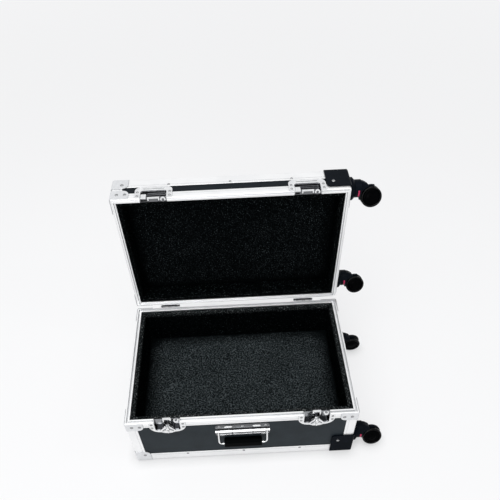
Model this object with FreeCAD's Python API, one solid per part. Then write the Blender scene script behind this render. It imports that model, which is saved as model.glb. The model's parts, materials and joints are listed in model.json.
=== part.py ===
import FreeCAD, Part
import math
import os

Vector = FreeCAD.Vector
ORIGIN = Vector(0, 0, 0)
X_AXIS = Vector(1, 0, 0)
Y_AXIS = Vector(0, 1, 0)
Z_AXIS = Vector(0, 0, 1)

# A trolley flight case with its lid open, in millimetres. +X runs to the caster end, +Y to the
# hinges, +Z up. The origin is on the ground under the middle of the base.

# Case body, measured over the rails
case_length = 550.0
case_width = 360.0
base_height = 184.5
lid_height = 74.0
rim_gap = 0.4
corner_stand = 1.5
lid_angle = 90.0

# One overrun for every cut
overrun = 15.0

# Plywood panels in their slots
panel_thickness = 9.0
panel_fit = 0.1

# Edge rails, an aluminium double angle
rail_wall = 1.5
edge_leg = 31.0
upright_leg = 26.0
rail_round = 4.0
rail_tip_round = 0.5
inner_wall = 1.2
inner_leg = 7.0
web_reach = 1.2
line_width = 1.2
line_depth = 0.4
line_inset = 6.0

# Rim rails, with a groove on the base and a tongue on the lid
rim_leg = 20.0
rim_inner_leg = 10.0
rim_head = 6.0
rim_round = 1.6
seal_groove_width = 4.8
seal_groove_depth = 4.2
tongue_width = 3.4
tongue_height = 3.4

# Foam lining and the false floor
foam_thickness = 10.0
foam_gap = 0.3
foam_drop = 5.0
floor_level = 80.0
floor_foam_thickness = 12.0
floor_board_thickness = 6.0
bearer_width = 12.0

# Corner caps at the left end
cap_leg_x = 38.0
cap_leg_y = 38.0
base_cap_rise = 44.0
lid_cap_rise = 36.0
corner_round = 5.0
corner_inner_round = 2.4
cap_tip_round = 13.0

# Rim corner braces
brace_leg = 42.0
brace_height = 30.0
brace_wall = 1.5
brace_tip_round = 14.0

# Moulded caster corners at the right end
guard_leg_x = 54.0
guard_wall = 3.0
guard_tip_round = 8.0
base_guard_leg_y = 66.0
base_guard_rise = 79.0
lid_guard_leg_y = 68.0
lid_guard_rise = 64.0

# Swivel sockets in the caster corners
base_swivel_inset = 33.0
base_swivel_rise = 45.0
lid_swivel_inset = 31.0
lid_swivel_rise = 33.0
boss_height = 12.0
boss_radius = 27.0
boss_face_radius = 21.5
boss_chamfer = 5.0
socket_radius = 6.0
socket_depth = 9.5
running_gap = 0.06

# Caster forks, axles and twin wheels
caster_turns = {"base_front": 21.0, "base_back": 0.0, "lid_front": 21.0, "lid_back": 21.0}
swivel_gap = 0.5
neck_radius = 21.0
neck_length = 14.0
wheel_standoff = 41.5
wheel_trail = 20.0
wheel_radius = 25.0
wheel_width = 8.2
wheel_chamfer = 2.4
wheel_gap = 0.6
hub_web_thickness = 4.4
hub_radius = 7.5
hood_gap = 2.0
hood_lip = 0.8
hood_side = 1.0
hood_end_angle = 104.0
hood_start_angle = 182.0
hood_set_in = 3.0
hood_shoulder_reach = 7.0
hood_shoulder_round = 16.0
hood_crest_reach = 18.0
hood_crest_fall = 6.5
hood_crest_round = 8.0
hood_edge_round = 6.0
web_overlap = 1.5
axle_radius = 3.0
axle_cover = 2.5
tread_width = 3.4
face_recess = 1.3
cap_radius = 8.0

# Recessed butterfly latches
latch_inset = 99.0
latch_width = 86.0
latch_plate = 1.2
dish_drop = 42.0
dish_round = 26.0
keeper_rise = 42.0
keeper_round = 15.0
pan_width = 62.0
pan_drop = 35.0
pan_rise = 28.0
pan_depth = 10.5
pan_wall = 1.2
pan_round = 7.0
pan_fit = 0.4
eye_offset = 21.8
eye_depth = 5.6
eye_radius = 3.2
eye_ring_radius = 6.2
eye_stem_width = 7.0
eye_thickness = 1.8
eye_gap = 0.3
tab_reach = 13.5
tab_height = 15.0
tab_set_in = 0.6
ridge_length = 48.0
ridge_width = 3.0
ridge_height = 0.8

# Latch wing on its spindle
spindle_drop = 20.0
spindle_radius = 4.0
spindle_boss_radius = 6.0
spindle_boss_height = 3.0
wing_lift = 0.9
wing_thickness = 2.4
wing_head = 7.0
wing_head_round = 4.0
wing_wide = 21.5
wing_wide_at = 13.0
wing_wide_round = 6.0
wing_reach = 21.0
wing_foot = 8.0
wing_foot_round = 8.0
wing_rib_width = 2.6
wing_rib_height = 2.8
wing_rib_start = 6.0
wing_rib_margin = 3.0
wing_collar_radius = 7.0
wing_collar_depth = 2.4

# Latch hook, a stirrup that swings over the keeper bar
hook_half_width = 10.0
hook_strap = 3.4
hook_plate = 1.8
hook_back_gap = 3.9
hook_top = 6.8
hook_bridge = 6.0
hook_lip = 3.4
hook_pivot_drop = 29.0
trunnion_radius = 2.0
trunnion_reach = 13.4
lug_gap = 0.6
lug_wall = 1.6
lug_length = 3.0
hook_swing = 5.6

# Keeper bar in the lid half of the latch
bar_low = 1.4
bar_high = 4.4
bar_front = 0.3
bar_depth = 2.7
bar_leg = 2.7
bar_side_gap = 0.8

# Front handle
handle_width = 130.0
handle_top_drop = 26.0
handle_height = 47.0
handle_plate_thickness = 1.5
handle_top_round = 8.0
handle_bottom_round = 3.0
handle_lip = 2.4
pivot_drop = 24.0
pivot_lift = 3.5
barrel_radius = 4.0
bail_wire_radius = 2.5
bail_arm_inset = 6.5
bail_drop = 51.5
bail_bend = 9.0
notch_gap = 0.9
seam_share = 0.192
seam_width = 0.9
emboss_share = 0.26
emboss_length = 19.0
emboss_width = 7.0
emboss_height = 1.0
seam_depth = 1.6
bail_lean = 5.6
grip_half_depth = 8.5
grip_below = 9.0
grip_above = 17.5
grip_round = 7.0
grip_end_gap = 12.5
grip_fit = 0.1
grip_end_chamfer = 1.5

# Stop hinges at the back
hinge_inset = 89.0
hinge_width = 44.0
hinge_setback = 5.5
knuckle_count = 5
knuckle_radius = 3.6
knuckle_gap = 0.3
pin_radius = 2.0
pin_gap = 0.05
pin_head_radius = 3.2
pin_head_length = 3.2
leaf_thickness = 1.5
leaf_reach = 19.0
leaf_clear = 2.0
ear_thickness = 2.0
ear_gap = 0.3
ear_reach = 9.0
ear_root = 17.0
stop_gap = 0.1

# Pull handle in the left end
pull_level = 47.0
pull_spacing = 130.0
tray_half_width = 80.0
tray_half_height = 10.5
tray_depth = 27.0
tray_wall = 2.0
tray_round = 8.0
bezel_lip = 1.8
sleeve_width = 24.0
sleeve_height = 16.0
sleeve_wall = 1.2
sleeve_round = 4.0
anchor_inset = 71.4
tube_gap = 0.4
tube_end_gap = 39.6
tube_wall = 1.2
anchor_thickness = 14.0
anchor_margin = 12.0
pull_grip_gap = 1.5
pull_grip_depth = 18.0
pull_grip_set_in = 1.0
pull_grip_round = 5.0
button_width = 26.0
button_height = 9.0
button_depth = 6.0
button_proud = 1.6
button_gap = 0.3
button_travel = 3.0
button_round = 2.0

# Rivets
rivet_radius = 4.0
rivet_height = 1.4
rivet_edge = 0.4
small_rivet_radius = 3.2
rail_rivet_inset = 6.5
rail_rivet_shares = (-0.26, 0.0, 0.26)
end_rivet_shares = (-0.22, 0.22)
rivet_face_share = 0.62

# Shares used by more than one piece
half_share = 0.5
rivet_brace_shares = (0.36, 0.8)
rivet_cap_share = 0.62
rivet_guard_share = 0.72
rivet_guard_leg_share = 0.7
rivet_latch_shares = (0.18, 0.52)
rivet_leaf_share = 0.62
rivet_hinge_share = 0.3

# Turns, in degrees
full_turn = 360
eighth_turn = 45

# Values that follow from the ones above
half_length = case_length * half_share
half_width = case_width * half_share
latch_offset = half_length - latch_inset
hinge_offset = half_length - hinge_inset
slot_end = rail_wall + panel_thickness + panel_fit + panel_fit
rim_depth = slot_end + inner_wall
panel_inset = rail_wall + panel_fit
panel_edge = slot_end + web_reach + panel_fit
foam_start = rim_depth + foam_gap
hinge_y = half_width + hinge_setback
front_y = -half_width
panel_front_y = front_y + panel_inset


class Half:
    """One half of the case: heights are measured from its outer face or from its rim."""

    def __init__(self, outer_z, rim_z, seal):
        self.outer_z = outer_z
        self.rim_z = rim_z
        self.seal = seal
        self.sense = 1 if rim_z > outer_z else -1
        self.height = abs(rim_z - outer_z)

    def rise(self, distance):
        return self.outer_z + self.sense * distance

    def drop(self, distance):
        return self.rim_z - self.sense * distance


base_rim_z = corner_stand + base_height
lid_rim_z = base_rim_z + rim_gap
BASE = Half(corner_stand, base_rim_z, -seal_groove_depth)
LID = Half(lid_rim_z + lid_height, lid_rim_z, tongue_height)
hinge_z = base_rim_z + rim_gap * half_share
HINGE_POINT = Vector(0, hinge_y, hinge_z)


def block(x_span, y_span, z_span):
    low = Vector(min(x_span), min(y_span), min(z_span))
    high = Vector(max(x_span), max(y_span), max(z_span))
    size = high - low
    return Part.makeBox(size.x, size.y, size.z, low)


def outline(corners, place):
    """Closed wire through (u, v, radius) corners, each one rounded by its own radius."""
    points = [Vector(u, v, 0) for u, v, radius in corners]
    count = len(points)
    bends = []
    for index in range(count):
        here = points[index]
        radius = corners[index][2]
        if radius <= 0:
            bends.append((here, None, here))
            continue
        back = (points[index - 1] - here).normalize()
        ahead = (points[(index + 1) % count] - here).normalize()
        half_angle = back.getAngle(ahead) * half_share
        reach = radius / math.tan(half_angle)
        inward = (back + ahead).normalize()
        middle = here + inward * (radius / math.sin(half_angle) - radius)
        bends.append((here + back * reach, middle, here + ahead * reach))
    edges = []
    for index in range(count):
        start, middle, end = bends[index]
        if middle is not None:
            edges.append(Part.Arc(place(start), place(middle), place(end)).toShape())
        following = bends[(index + 1) % count][0]
        if not end.isEqual(following, Part.Precision.confusion()):
            edges.append(Part.LineSegment(place(end), place(following)).toShape())
    return Part.Wire(edges)


def extruded(corners, place, direction):
    return Part.Face(outline(corners, place)).extrude(direction)


def front_plane(y):
    return lambda point: Vector(point.x, y, point.y)


def end_plane(x):
    return lambda point: Vector(x, point.x, point.y)


def plan_plane(z):
    return lambda point: Vector(point.x, point.y, z)


def rectangle(u_span, v_span, radius):
    """Corners of a rectangle, all with one radius."""
    low_u, high_u = min(u_span), max(u_span)
    low_v, high_v = min(v_span), max(v_span)
    return [(low_u, low_v, radius), (high_u, low_v, radius),
            (high_u, high_v, radius), (low_u, high_v, radius)]


def cylinder(start, end, radius):
    return Part.makeCylinder(radius, start.distanceToPoint(end), start, end - start)


def fused(shapes):
    whole = shapes[0].fuse(shapes[1:])
    return whole.removeSplitter()


def turned(shape, point, axis, angle):
    moved = shape.copy()
    moved.rotate(point, axis, angle)
    return moved


def mirrored_x(shape):
    return shape.mirror(ORIGIN, X_AXIS)


def mirrored_y(shape):
    return shape.mirror(ORIGIN, Y_AXIS)


def edges_at(shape, points):
    """The edge whose middle lies nearest to each point."""
    return [min(shape.Edges, key=lambda edge: edge.CenterOfMass.distanceToPoint(point))
            for point in points]


def edges_through(shape, point):
    """The edges that end at a point."""
    return [edge for edge in shape.Edges
            if any(vertex.Point.isEqual(point, Part.Precision.confusion()) for vertex in edge.Vertexes)]


def opened(shape):
    """A piece of the closed lid, swung to the open lid's place."""
    return turned(shape, HINGE_POINT, X_AXIS, -lid_angle)


def save(name, shapes):
    solids = []
    for shape in shapes:
        solids.extend(shape.Solids)
    for solid in solids:
        if not solid.isValid():
            raise ValueError(name + " has a solid that is not valid")
    Part.makeCompound(solids).exportStep(os.path.join("parts", name + ".step"))


# Rails

def leg_line(position):
    """A fine line pressed into the outer face of a leg, as corners of the section."""
    half_line = line_width * half_share
    return [(position - half_line, 0), (position - half_line, line_depth),
            (position + half_line, line_depth), (position + half_line, 0)]


def double_angle(leg_u, leg_v):
    """Section of an edge rail with its outer corner at the origin and a slot for each panel."""
    along_u = [(u, v, 0) for u, v in reversed(leg_line(leg_u - line_inset))]
    along_v = [(v, u, 0) for u, v in leg_line(leg_v - line_inset)]
    deep = slot_end + inner_wall
    tip = slot_end + inner_leg
    return (
        [(leg_u, 0, rail_tip_round)] + along_u + [(0, 0, rail_round)] + along_v
        + [(0, leg_v, rail_tip_round), (rail_wall, leg_v, rail_tip_round),
           (rail_wall, rail_wall + web_reach, 0), (slot_end, slot_end + web_reach, 0),
           (slot_end, tip, 0), (deep, tip, 0), (deep, deep, 0), (tip, deep, 0), (tip, slot_end, 0),
           (slot_end + web_reach, slot_end, 0), (rail_wall + web_reach, rail_wall, 0),
           (leg_u, rail_wall, rail_tip_round)]
    )


def rim_section(seal):
    """Section of a rim rail: u runs inwards, v runs away from the rim, seal is the tongue's height."""
    middle = rim_depth * half_share
    half_seal = (tongue_width if seal > 0 else seal_groove_width) * half_share
    lines = [(v, u, 0) for u, v in reversed(leg_line(rim_leg - line_inset))]
    return (
        [(0, 0, rim_round), (middle - half_seal, 0, 0), (middle - half_seal, -seal, 0),
         (middle + half_seal, -seal, 0), (middle + half_seal, 0, 0), (rim_depth, 0, rail_tip_round),
         (rim_depth, rim_inner_leg, 0), (slot_end, rim_inner_leg, 0), (slot_end, rim_head, 0),
         (rail_wall, rim_head, 0), (rail_wall, rim_leg, rail_tip_round), (0, rim_leg, rail_tip_round)]
        + lines
    )


def mitre_prisms(reach):
    """Prisms that hold a front rail and a left rail, mitred, with the case's corners rounded."""
    low_z = -overrun
    height = LID.outer_z + overrun + overrun
    plan = extruded(rectangle((-half_length, half_length), (-half_width, half_width), rail_round),
                    plan_plane(low_z), Z_AXIS * height)
    front = [(-half_length, -half_width, 0), (half_length, -half_width, 0),
             (half_length - reach, -half_width + reach, 0), (-half_length + reach, -half_width + reach, 0)]
    left = [(-half_length, -half_width, 0), (-half_length + reach, -half_width + reach, 0),
            (-half_length + reach, half_width - reach, 0), (-half_length, half_width, 0)]
    return [extruded(corners, plan_plane(low_z), Z_AXIS * height).common(plan) for corners in (front, left)]


def frame(section, level, reach):
    """Front, back, left and right rails of one section, mitred at the corners."""
    front_prism, left_prism = mitre_prisms(reach)
    front = extruded(section, lambda p: Vector(-half_length, -half_width + p.x, level(p.y)),
                     X_AXIS * case_length).common(front_prism)
    left = extruded(section, lambda p: Vector(-half_length + p.x, -half_width, level(p.y)),
                    Y_AXIS * case_width).common(left_prism)
    return front, mirrored_y(front), left, mirrored_x(left)


def edge_rails(half):
    return frame(double_angle(edge_leg, edge_leg), half.rise, edge_leg)


def rim_rails(half, cuts):
    front, back, left, right = frame(rim_section(half.seal), half.drop, rim_leg)
    return front.cut(cuts), back, left, right


def upright_rails(half):
    length = half.height - edge_leg - rim_leg
    rail = extruded(double_angle(upright_leg, upright_leg),
                    lambda p: Vector(-half_length + p.x, -half_width + p.y, half.rise(edge_leg)),
                    Z_AXIS * (half.sense * length))
    pair = [rail, mirrored_y(rail)]
    return pair + [mirrored_x(each) for each in pair]


# Panels and lining

def long_panel(half):
    """Front panel, from the slot of the edge rail to the head of the rim rail."""
    return block((-half_length + panel_edge, half_length - panel_edge),
                 (panel_front_y, panel_front_y + panel_thickness),
                 (half.rise(panel_edge), half.drop(rim_head + panel_fit)))


def end_panel(half):
    return block((-half_length + panel_inset, -half_length + panel_inset + panel_thickness),
                 (-half_width + panel_edge, half_width - panel_edge),
                 (half.rise(panel_edge), half.drop(rim_head + panel_fit)))


def outer_panel(half):
    return block((-half_length + panel_edge, half_length - panel_edge),
                 (-half_width + panel_edge, half_width - panel_edge),
                 (half.rise(panel_inset), half.rise(panel_inset + panel_thickness)))


def lining_boards(low_z, high_z):
    """Foam boards round the four walls: the end boards stand between the long ones."""
    inner = foam_start + foam_thickness
    front = block((-half_length + foam_start, half_length - foam_start),
                  (-half_width + foam_start, -half_width + inner), (low_z, high_z))
    left = block((-half_length + foam_start, -half_length + inner),
                 (-half_width + inner, half_width - inner), (low_z, high_z))
    return front, mirrored_y(front), left, mirrored_x(left)


def floor_level_board(inset, low_z, high_z):
    return block((-half_length + inset, half_length - inset), (-half_width + inset, half_width - inset),
                 (low_z, high_z))


floor_foam_low = floor_level - floor_foam_thickness
floor_board_low = floor_foam_low - floor_board_thickness
base_panel_top = BASE.rise(panel_inset + panel_thickness)


def floor_bearers():
    start = slot_end + inner_leg + foam_gap
    front = block((-half_length + foam_start + tray_depth + sleeve_width,
                   half_length - foam_start - sleeve_width),
                  (-half_width + start, -half_width + start + bearer_width),
                  (base_panel_top, floor_board_low))
    return front, mirrored_y(front)


# Corner hardware

def corner_shell(legs, walls, tip_round):
    """Three-sided corner with its inner apex at the origin and its legs along +X, +Y and +Z."""
    outer = block((-walls.x, legs.x), (-walls.y, legs.y), (-walls.z, legs.z))
    outer = outer.makeFillet(corner_round, edges_through(outer, Vector(-walls.x, -walls.y, -walls.z)))
    inner = block((0, legs.x + overrun), (0, legs.y + overrun), (0, legs.z + overrun))
    inner = inner.makeFillet(corner_inner_round, edges_through(inner, ORIGIN))
    shell = outer.cut(inner)
    tips = [Vector(legs.x, -walls.y * half_share, legs.z), Vector(-walls.x * half_share, legs.y, legs.z),
            Vector(legs.x, legs.y, -walls.z * half_share)]
    return shell.makeFillet(tip_round, edges_at(shell, tips))


def seated(shape, half, level, right, back):
    """A corner piece moved from the origin to one corner of a half."""
    piece = shape.copy()
    if half.sense < 0:
        piece = piece.mirror(ORIGIN, Z_AXIS)
    piece.translate(Vector(-half_length, -half_width, level))
    if right:
        piece = mirrored_x(piece)
    if back:
        piece = mirrored_y(piece)
    return piece


def corner_caps(half, rise):
    walls = Vector(corner_stand, corner_stand, corner_stand)
    cap = corner_shell(Vector(cap_leg_x, cap_leg_y, rise), walls, cap_tip_round)
    return [seated(cap, half, half.outer_z, False, back) for back in (False, True)]


def rim_brace():
    """Angle plate round a vertical edge, hung from the rim plane at the origin."""
    span = (-brace_wall, brace_leg)
    outer = block(span, span, (-brace_height, 0))
    upright = Vector(-brace_wall, -brace_wall, -brace_height * half_share)
    outer = outer.makeFillet(corner_round, edges_at(outer, [upright]))
    inner_span = (0, brace_leg + overrun)
    inner = block(inner_span, inner_span, (-brace_height - overrun, overrun))
    inner_edge = Vector(0, 0, -brace_height * half_share)
    inner = inner.makeFillet(corner_inner_round, edges_at(inner, [inner_edge]))
    brace = outer.cut(inner)
    half_wall = brace_wall * half_share
    tips = [Vector(brace_leg, -half_wall, -brace_height), Vector(-half_wall, brace_leg, -brace_height)]
    return brace.makeFillet(brace_tip_round, edges_at(brace, tips))


def caster_corner(leg_y, rise, swivel_inset, swivel_rise):
    """Moulded corner with the swivel socket standing out of its end leg."""
    walls = Vector(guard_wall, guard_wall, corner_stand)
    shell = corner_shell(Vector(guard_leg_x, leg_y, rise), walls, guard_tip_round)
    outwards = X_AXIS * -1
    root = Vector(-guard_wall * half_share, swivel_inset, swivel_rise)
    face = Vector(-guard_wall - boss_height, swivel_inset, swivel_rise)
    shoulder = face - outwards * boss_chamfer
    boss = cylinder(root, shoulder, boss_radius)
    nose = Part.makeCone(boss_radius, boss_face_radius, boss_chamfer, shoulder, outwards)
    socket = cylinder(face + outwards * overrun, face - outwards * socket_depth, socket_radius)
    return fused([shell, boss, nose]).cut(socket)


def caster_corners(half, leg_y, rise, swivel_inset, swivel_rise):
    corner = caster_corner(leg_y, rise, swivel_inset, swivel_rise)
    return [seated(corner, half, half.outer_z, True, back) for back in (False, True)]


# Casters

boss_face_x = half_length + guard_wall + boss_height


well_radius = wheel_radius + hood_gap
half_fork = hub_web_thickness * half_share + wheel_gap + wheel_width + hood_side
WHEEL_CENTRE = Vector(wheel_standoff, 0, -wheel_trail)


def around_wheel(radius, angle, rounding):
    turn = math.radians(angle)
    return (wheel_standoff + radius * math.cos(turn), -wheel_trail + radius * math.sin(turn), rounding)


def fork_hood():
    """Hood that falls from the neck to the wheels, with rounded long edges and a well for the wheels."""
    level = neck_radius - hood_set_in
    corners = [
        (swivel_gap, -level, 0), (neck_length, -level, 0), around_wheel(well_radius, hood_start_angle, 0),
        (wheel_standoff, -wheel_trail, 0), around_wheel(well_radius + hood_lip, hood_end_angle, 0),
        (neck_length + hood_crest_reach, level - hood_crest_fall, hood_crest_round),
        (neck_length + hood_shoulder_reach, level, hood_shoulder_round), (swivel_gap, level, 0),
    ]
    body = extruded(corners, front_plane(-half_fork), Y_AXIS * (half_fork + half_fork))
    upper = [edge for edge in body.Edges
             if abs(abs(edge.CenterOfMass.y) - half_fork) < running_gap and edge.CenterOfMass.z > 0]
    body = body.makeFillet(hood_edge_round, upper)
    reach = Y_AXIS * (half_fork + overrun)
    return body.cut(cylinder(WHEEL_CENTRE - reach, WHEEL_CENTRE + reach, well_radius))


def caster_fork():
    """Fork with its stem along +X, its socket's mouth at the origin and its wheels hanging down."""
    half_web = hub_web_thickness * half_share
    reach = Y_AXIS * (half_fork + overrun)
    well = cylinder(WHEEL_CENTRE - reach, WHEEL_CENTRE + reach, well_radius)
    neck = cylinder(X_AXIS * swivel_gap, X_AXIS * (neck_length + web_overlap), neck_radius)
    web = cylinder(WHEEL_CENTRE - Y_AXIS * half_web, WHEEL_CENTRE + Y_AXIS * half_web,
                   well_radius + web_overlap)
    keep = block((swivel_gap, wheel_standoff + hub_radius), (-half_web, half_web),
                 (-wheel_trail - hub_radius, neck_radius))
    stem = cylinder(X_AXIS * -(socket_depth - swivel_gap), X_AXIS * neck_length,
                    socket_radius - running_gap)
    fork = fused([fork_hood(), neck.cut(well), web.common(keep), stem])
    bore = cylinder(WHEEL_CENTRE - reach, WHEEL_CENTRE + reach, axle_radius)
    return fork.cut(bore)


def caster_axle():
    reach = hub_web_thickness * half_share + wheel_gap + wheel_width - axle_cover
    return cylinder(WHEEL_CENTRE - Y_AXIS * reach, WHEEL_CENTRE + Y_AXIS * reach, axle_radius)


def caster_wheel():
    """Front wheel of the pair, turned about the axle, with a tread band and a capped outer face."""
    inner = hub_web_thickness * half_share + wheel_gap
    outer = inner + wheel_width
    tread = wheel_radius - tread_width
    shoulder = wheel_radius - wheel_chamfer
    section = [
        (inner, axle_radius + running_gap, 0), (inner, shoulder, 0),
        (inner + wheel_chamfer, wheel_radius, 0), (outer - wheel_chamfer, wheel_radius, 0),
        (outer, shoulder, 0), (outer, tread, 0),
        (outer - face_recess, tread, 0), (outer - face_recess, cap_radius, 0),
        (outer - face_recess * half_share, 0, 0), (outer - axle_cover + running_gap, 0, 0),
        (outer - axle_cover + running_gap, axle_radius + running_gap, 0),
    ]
    face = Part.Face(outline(section, lambda p: Vector(wheel_standoff, -p.x, p.y - wheel_trail)))
    return face.revolve(WHEEL_CENTRE, Y_AXIS, full_turn)


def swivel_places():
    """Name and socket mouth of each caster with the lid open."""
    places = []
    for name, half, inset, rise in (("base", BASE, base_swivel_inset, base_swivel_rise),
                                    ("lid", LID, lid_swivel_inset, lid_swivel_rise)):
        for end, side in (("front", -1), ("back", 1)):
            mouth = Vector(boss_face_x, side * (half_width - inset), half.rise(rise))
            if half is LID:
                mouth = opened(Part.Vertex(mouth)).Point
            places.append((name + "_" + end, mouth))
    return places


# Latches

def dish_pan(height, sense, level):
    """Tray of one latch half, open at the front and at the joint line, in the middle of the case."""
    half_pan = pan_width * half_share
    half_inner = half_pan - pan_wall
    half_plate = latch_width * half_share
    plate_reach = dish_drop if sense < 0 else keeper_rise
    plate_round = dish_round if sense < 0 else keeper_round
    front = front_y - latch_plate
    plate = extruded([(-half_plate, level, 0), (half_plate, level, 0),
                      (half_plate, level + sense * plate_reach, plate_round),
                      (-half_plate, level + sense * plate_reach, plate_round)],
                     front_plane(front), Y_AXIS * latch_plate)
    pan = extruded([(-half_pan, level, 0), (half_pan, level, 0),
                    (half_pan, level + sense * height, pan_round),
                    (-half_pan, level + sense * height, pan_round)],
                   front_plane(front), Y_AXIS * (latch_plate + pan_depth))
    inner_height = sense * (height - pan_wall)
    inner_round = pan_round - pan_wall
    hollow = extruded([(-half_inner, level - sense * overrun, 0), (half_inner, level - sense * overrun, 0),
                       (half_inner, level + inner_height, inner_round),
                       (-half_inner, level + inner_height, inner_round)],
                      front_plane(front - overrun), Y_AXIS * (overrun + latch_plate + pan_depth - pan_wall))
    return fused([plate, pan]).cut(hollow)


def padlock_eye(low_z):
    """Flat ring at the joint line on a stem from the tray's floor."""
    centre = Vector(eye_offset, front_y + eye_depth, low_z)
    ring = cylinder(centre, centre + Z_AXIS * eye_thickness, eye_ring_radius)
    half_stem = eye_stem_width * half_share
    stem = block((eye_offset - half_stem, eye_offset + half_stem),
                 (centre.y + eye_radius, front_y + pan_depth - pan_wall * half_share),
                 (low_z, low_z + eye_thickness))
    return fused([ring, stem])


def eye_hole():
    centre = Vector(eye_offset, front_y + eye_depth, base_rim_z)
    return cylinder(centre - Z_AXIS * overrun, centre + Z_AXIS * overrun, eye_radius)


pan_floor_y = front_y + pan_depth - pan_wall
spindle_z = base_rim_z - spindle_drop
hook_front_y = front_y + hook_back_gap
HOOK_PIVOT = Vector(0, hook_front_y + hook_plate * half_share, base_rim_z - hook_pivot_drop)


def latch_dish():
    """Base half: flange, tray, padlock eye, spindle boss and the two lugs that carry the hook."""
    pan = dish_pan(pan_drop, -1, base_rim_z)
    eye = padlock_eye(base_rim_z - eye_gap - eye_thickness)
    boss_end = pan_floor_y - spindle_boss_height
    boss = cylinder(Vector(0, pan_floor_y, spindle_z), Vector(0, boss_end, spindle_z), spindle_boss_radius)
    lug_start = hook_half_width + lug_gap
    lug_half = trunnion_radius + lug_wall
    lug = block((lug_start, lug_start + lug_length), (HOOK_PIVOT.y - lug_half, pan_floor_y),
                (HOOK_PIVOT.z - lug_half, HOOK_PIVOT.z + lug_half))
    dish = fused([pan, eye, boss, lug, mirrored_x(lug)])
    spindle_end = Vector(0, front_y + pan_depth + overrun, spindle_z)
    spindle_hole = cylinder(Vector(0, front_y, spindle_z), spindle_end, spindle_radius + running_gap)
    lug_end = lug_start + lug_length + overrun
    pivot_hole = cylinder(HOOK_PIVOT - X_AXIS * lug_end, HOOK_PIVOT + X_AXIS * lug_end,
                          trunnion_radius + running_gap)
    within = block((-lug_start - lug_length, lug_start + lug_length),
                   (HOOK_PIVOT.y - lug_half, pan_floor_y),
                   (HOOK_PIVOT.z - lug_half, HOOK_PIVOT.z + lug_half))
    return dish.cut([spindle_hole, pivot_hole.common(within), eye_hole()])


def latch_wing():
    """Fan-shaped wing with three ribs, on its spindle and hanging down."""
    back_y = front_y - latch_plate - wing_lift
    face_y = back_y - wing_thickness
    side = [(wing_head, wing_head, wing_head_round), (wing_wide, -wing_wide_at, wing_wide_round),
            (wing_foot, -wing_reach, wing_foot_round)]
    other_side = [(-u, v, radius) for u, v, radius in reversed(side)]
    corners = [(u, v + spindle_z, radius) for u, v, radius in side + other_side]
    plate = extruded(corners, front_plane(back_y), Y_AXIS * -wing_thickness)
    half_rib = wing_rib_width * half_share
    span = rectangle((-half_rib, half_rib),
                     (spindle_z - wing_rib_start,
                      spindle_z - wing_reach + wing_rib_margin), half_rib * half_share)
    rib = extruded(span, front_plane(back_y), Y_AXIS * -(wing_thickness + wing_rib_height))
    pivot = Vector(0, 0, spindle_z)
    ribs = [turned(rib, pivot, Y_AXIS, angle) for angle in (-eighth_turn, 0, eighth_turn)]
    stud = cylinder(Vector(0, back_y, spindle_z), Vector(0, face_y - wing_rib_height, spindle_z),
                    spindle_radius)
    collar = cylinder(Vector(0, back_y, spindle_z), Vector(0, front_y + wing_collar_depth, spindle_z),
                      wing_collar_radius)
    spindle = cylinder(Vector(0, back_y, spindle_z), Vector(0, front_y + pan_depth, spindle_z),
                       spindle_radius)
    return fused([plate, stud, collar, spindle] + ribs)


def latch_hook():
    """Stirrup hook, straight when latched and here leaning back, clear of the keeper bar."""
    top_z = base_rim_z + hook_top
    slot_half = hook_half_width - hook_strap
    plate = extruded(rectangle((-hook_half_width, hook_half_width), (HOOK_PIVOT.z, top_z), hook_plate),
                     front_plane(hook_front_y), Y_AXIS * hook_plate)
    slot_span = (HOOK_PIVOT.z + trunnion_radius, top_z - hook_bridge)
    slot = extruded(rectangle((-slot_half, slot_half), slot_span, hook_plate),
                    front_plane(hook_front_y - overrun), Y_AXIS * (overrun + overrun))
    lip = block((-hook_half_width + hook_plate, hook_half_width - hook_plate),
                (hook_front_y - hook_lip, hook_front_y), (top_z - hook_plate, top_z))
    trunnion = cylinder(HOOK_PIVOT - X_AXIS * trunnion_reach, HOOK_PIVOT + X_AXIS * trunnion_reach,
                        trunnion_radius)
    hook = fused([plate.cut(slot), lip, trunnion])
    return turned(hook, HOOK_PIVOT, X_AXIS, -hook_swing)


def latch_keeper():
    """Lid half in its closed place: flange, tray, padlock eye, tab and the bar that the hook catches."""
    pan = dish_pan(pan_rise, 1, lid_rim_z)
    low_z = lid_rim_z + eye_gap
    eye = padlock_eye(low_z)
    wall_x = (pan_width - pan_wall) * half_share
    tab = block((-wall_x, -wall_x + tab_reach), (front_y + tab_set_in,
                                                 front_y + tab_set_in + eye_thickness),
                (low_z, low_z + tab_height))
    leg_inner = hook_half_width + bar_side_gap
    half_bar = leg_inner + bar_leg
    bar_front_y = front_y + bar_front
    bar_span = (base_rim_z + bar_low, base_rim_z + bar_high)
    bar = block((-half_bar, half_bar), (bar_front_y, bar_front_y + bar_depth), bar_span)
    leg = block((leg_inner, half_bar), (bar_front_y, pan_floor_y), bar_span)
    half_ridge = ridge_length * half_share
    ridge_z = lid_rim_z + (pan_rise + keeper_rise) * half_share
    ridge_span = (ridge_z - ridge_width * half_share, ridge_z + ridge_width * half_share)
    ridge = extruded(rectangle((-half_ridge, half_ridge), ridge_span, ridge_height),
                     front_plane(front_y - latch_plate), Y_AXIS * -ridge_height)
    return fused([pan, bar, leg, mirrored_x(leg), eye, tab, ridge]).cut(eye_hole())


def latch_cuts(half, height):
    """Openings that the two trays need in the front rail and panel of a half."""
    half_opening = pan_width * half_share + pan_fit
    cuts = []
    for centre in (-latch_offset, latch_offset):
        cuts.append(block((centre - half_opening, centre + half_opening),
                          (front_y - overrun, front_y + rim_depth + overrun),
                          (half.drop(height + pan_fit), half.drop(-overrun))))
    return cuts


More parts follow.
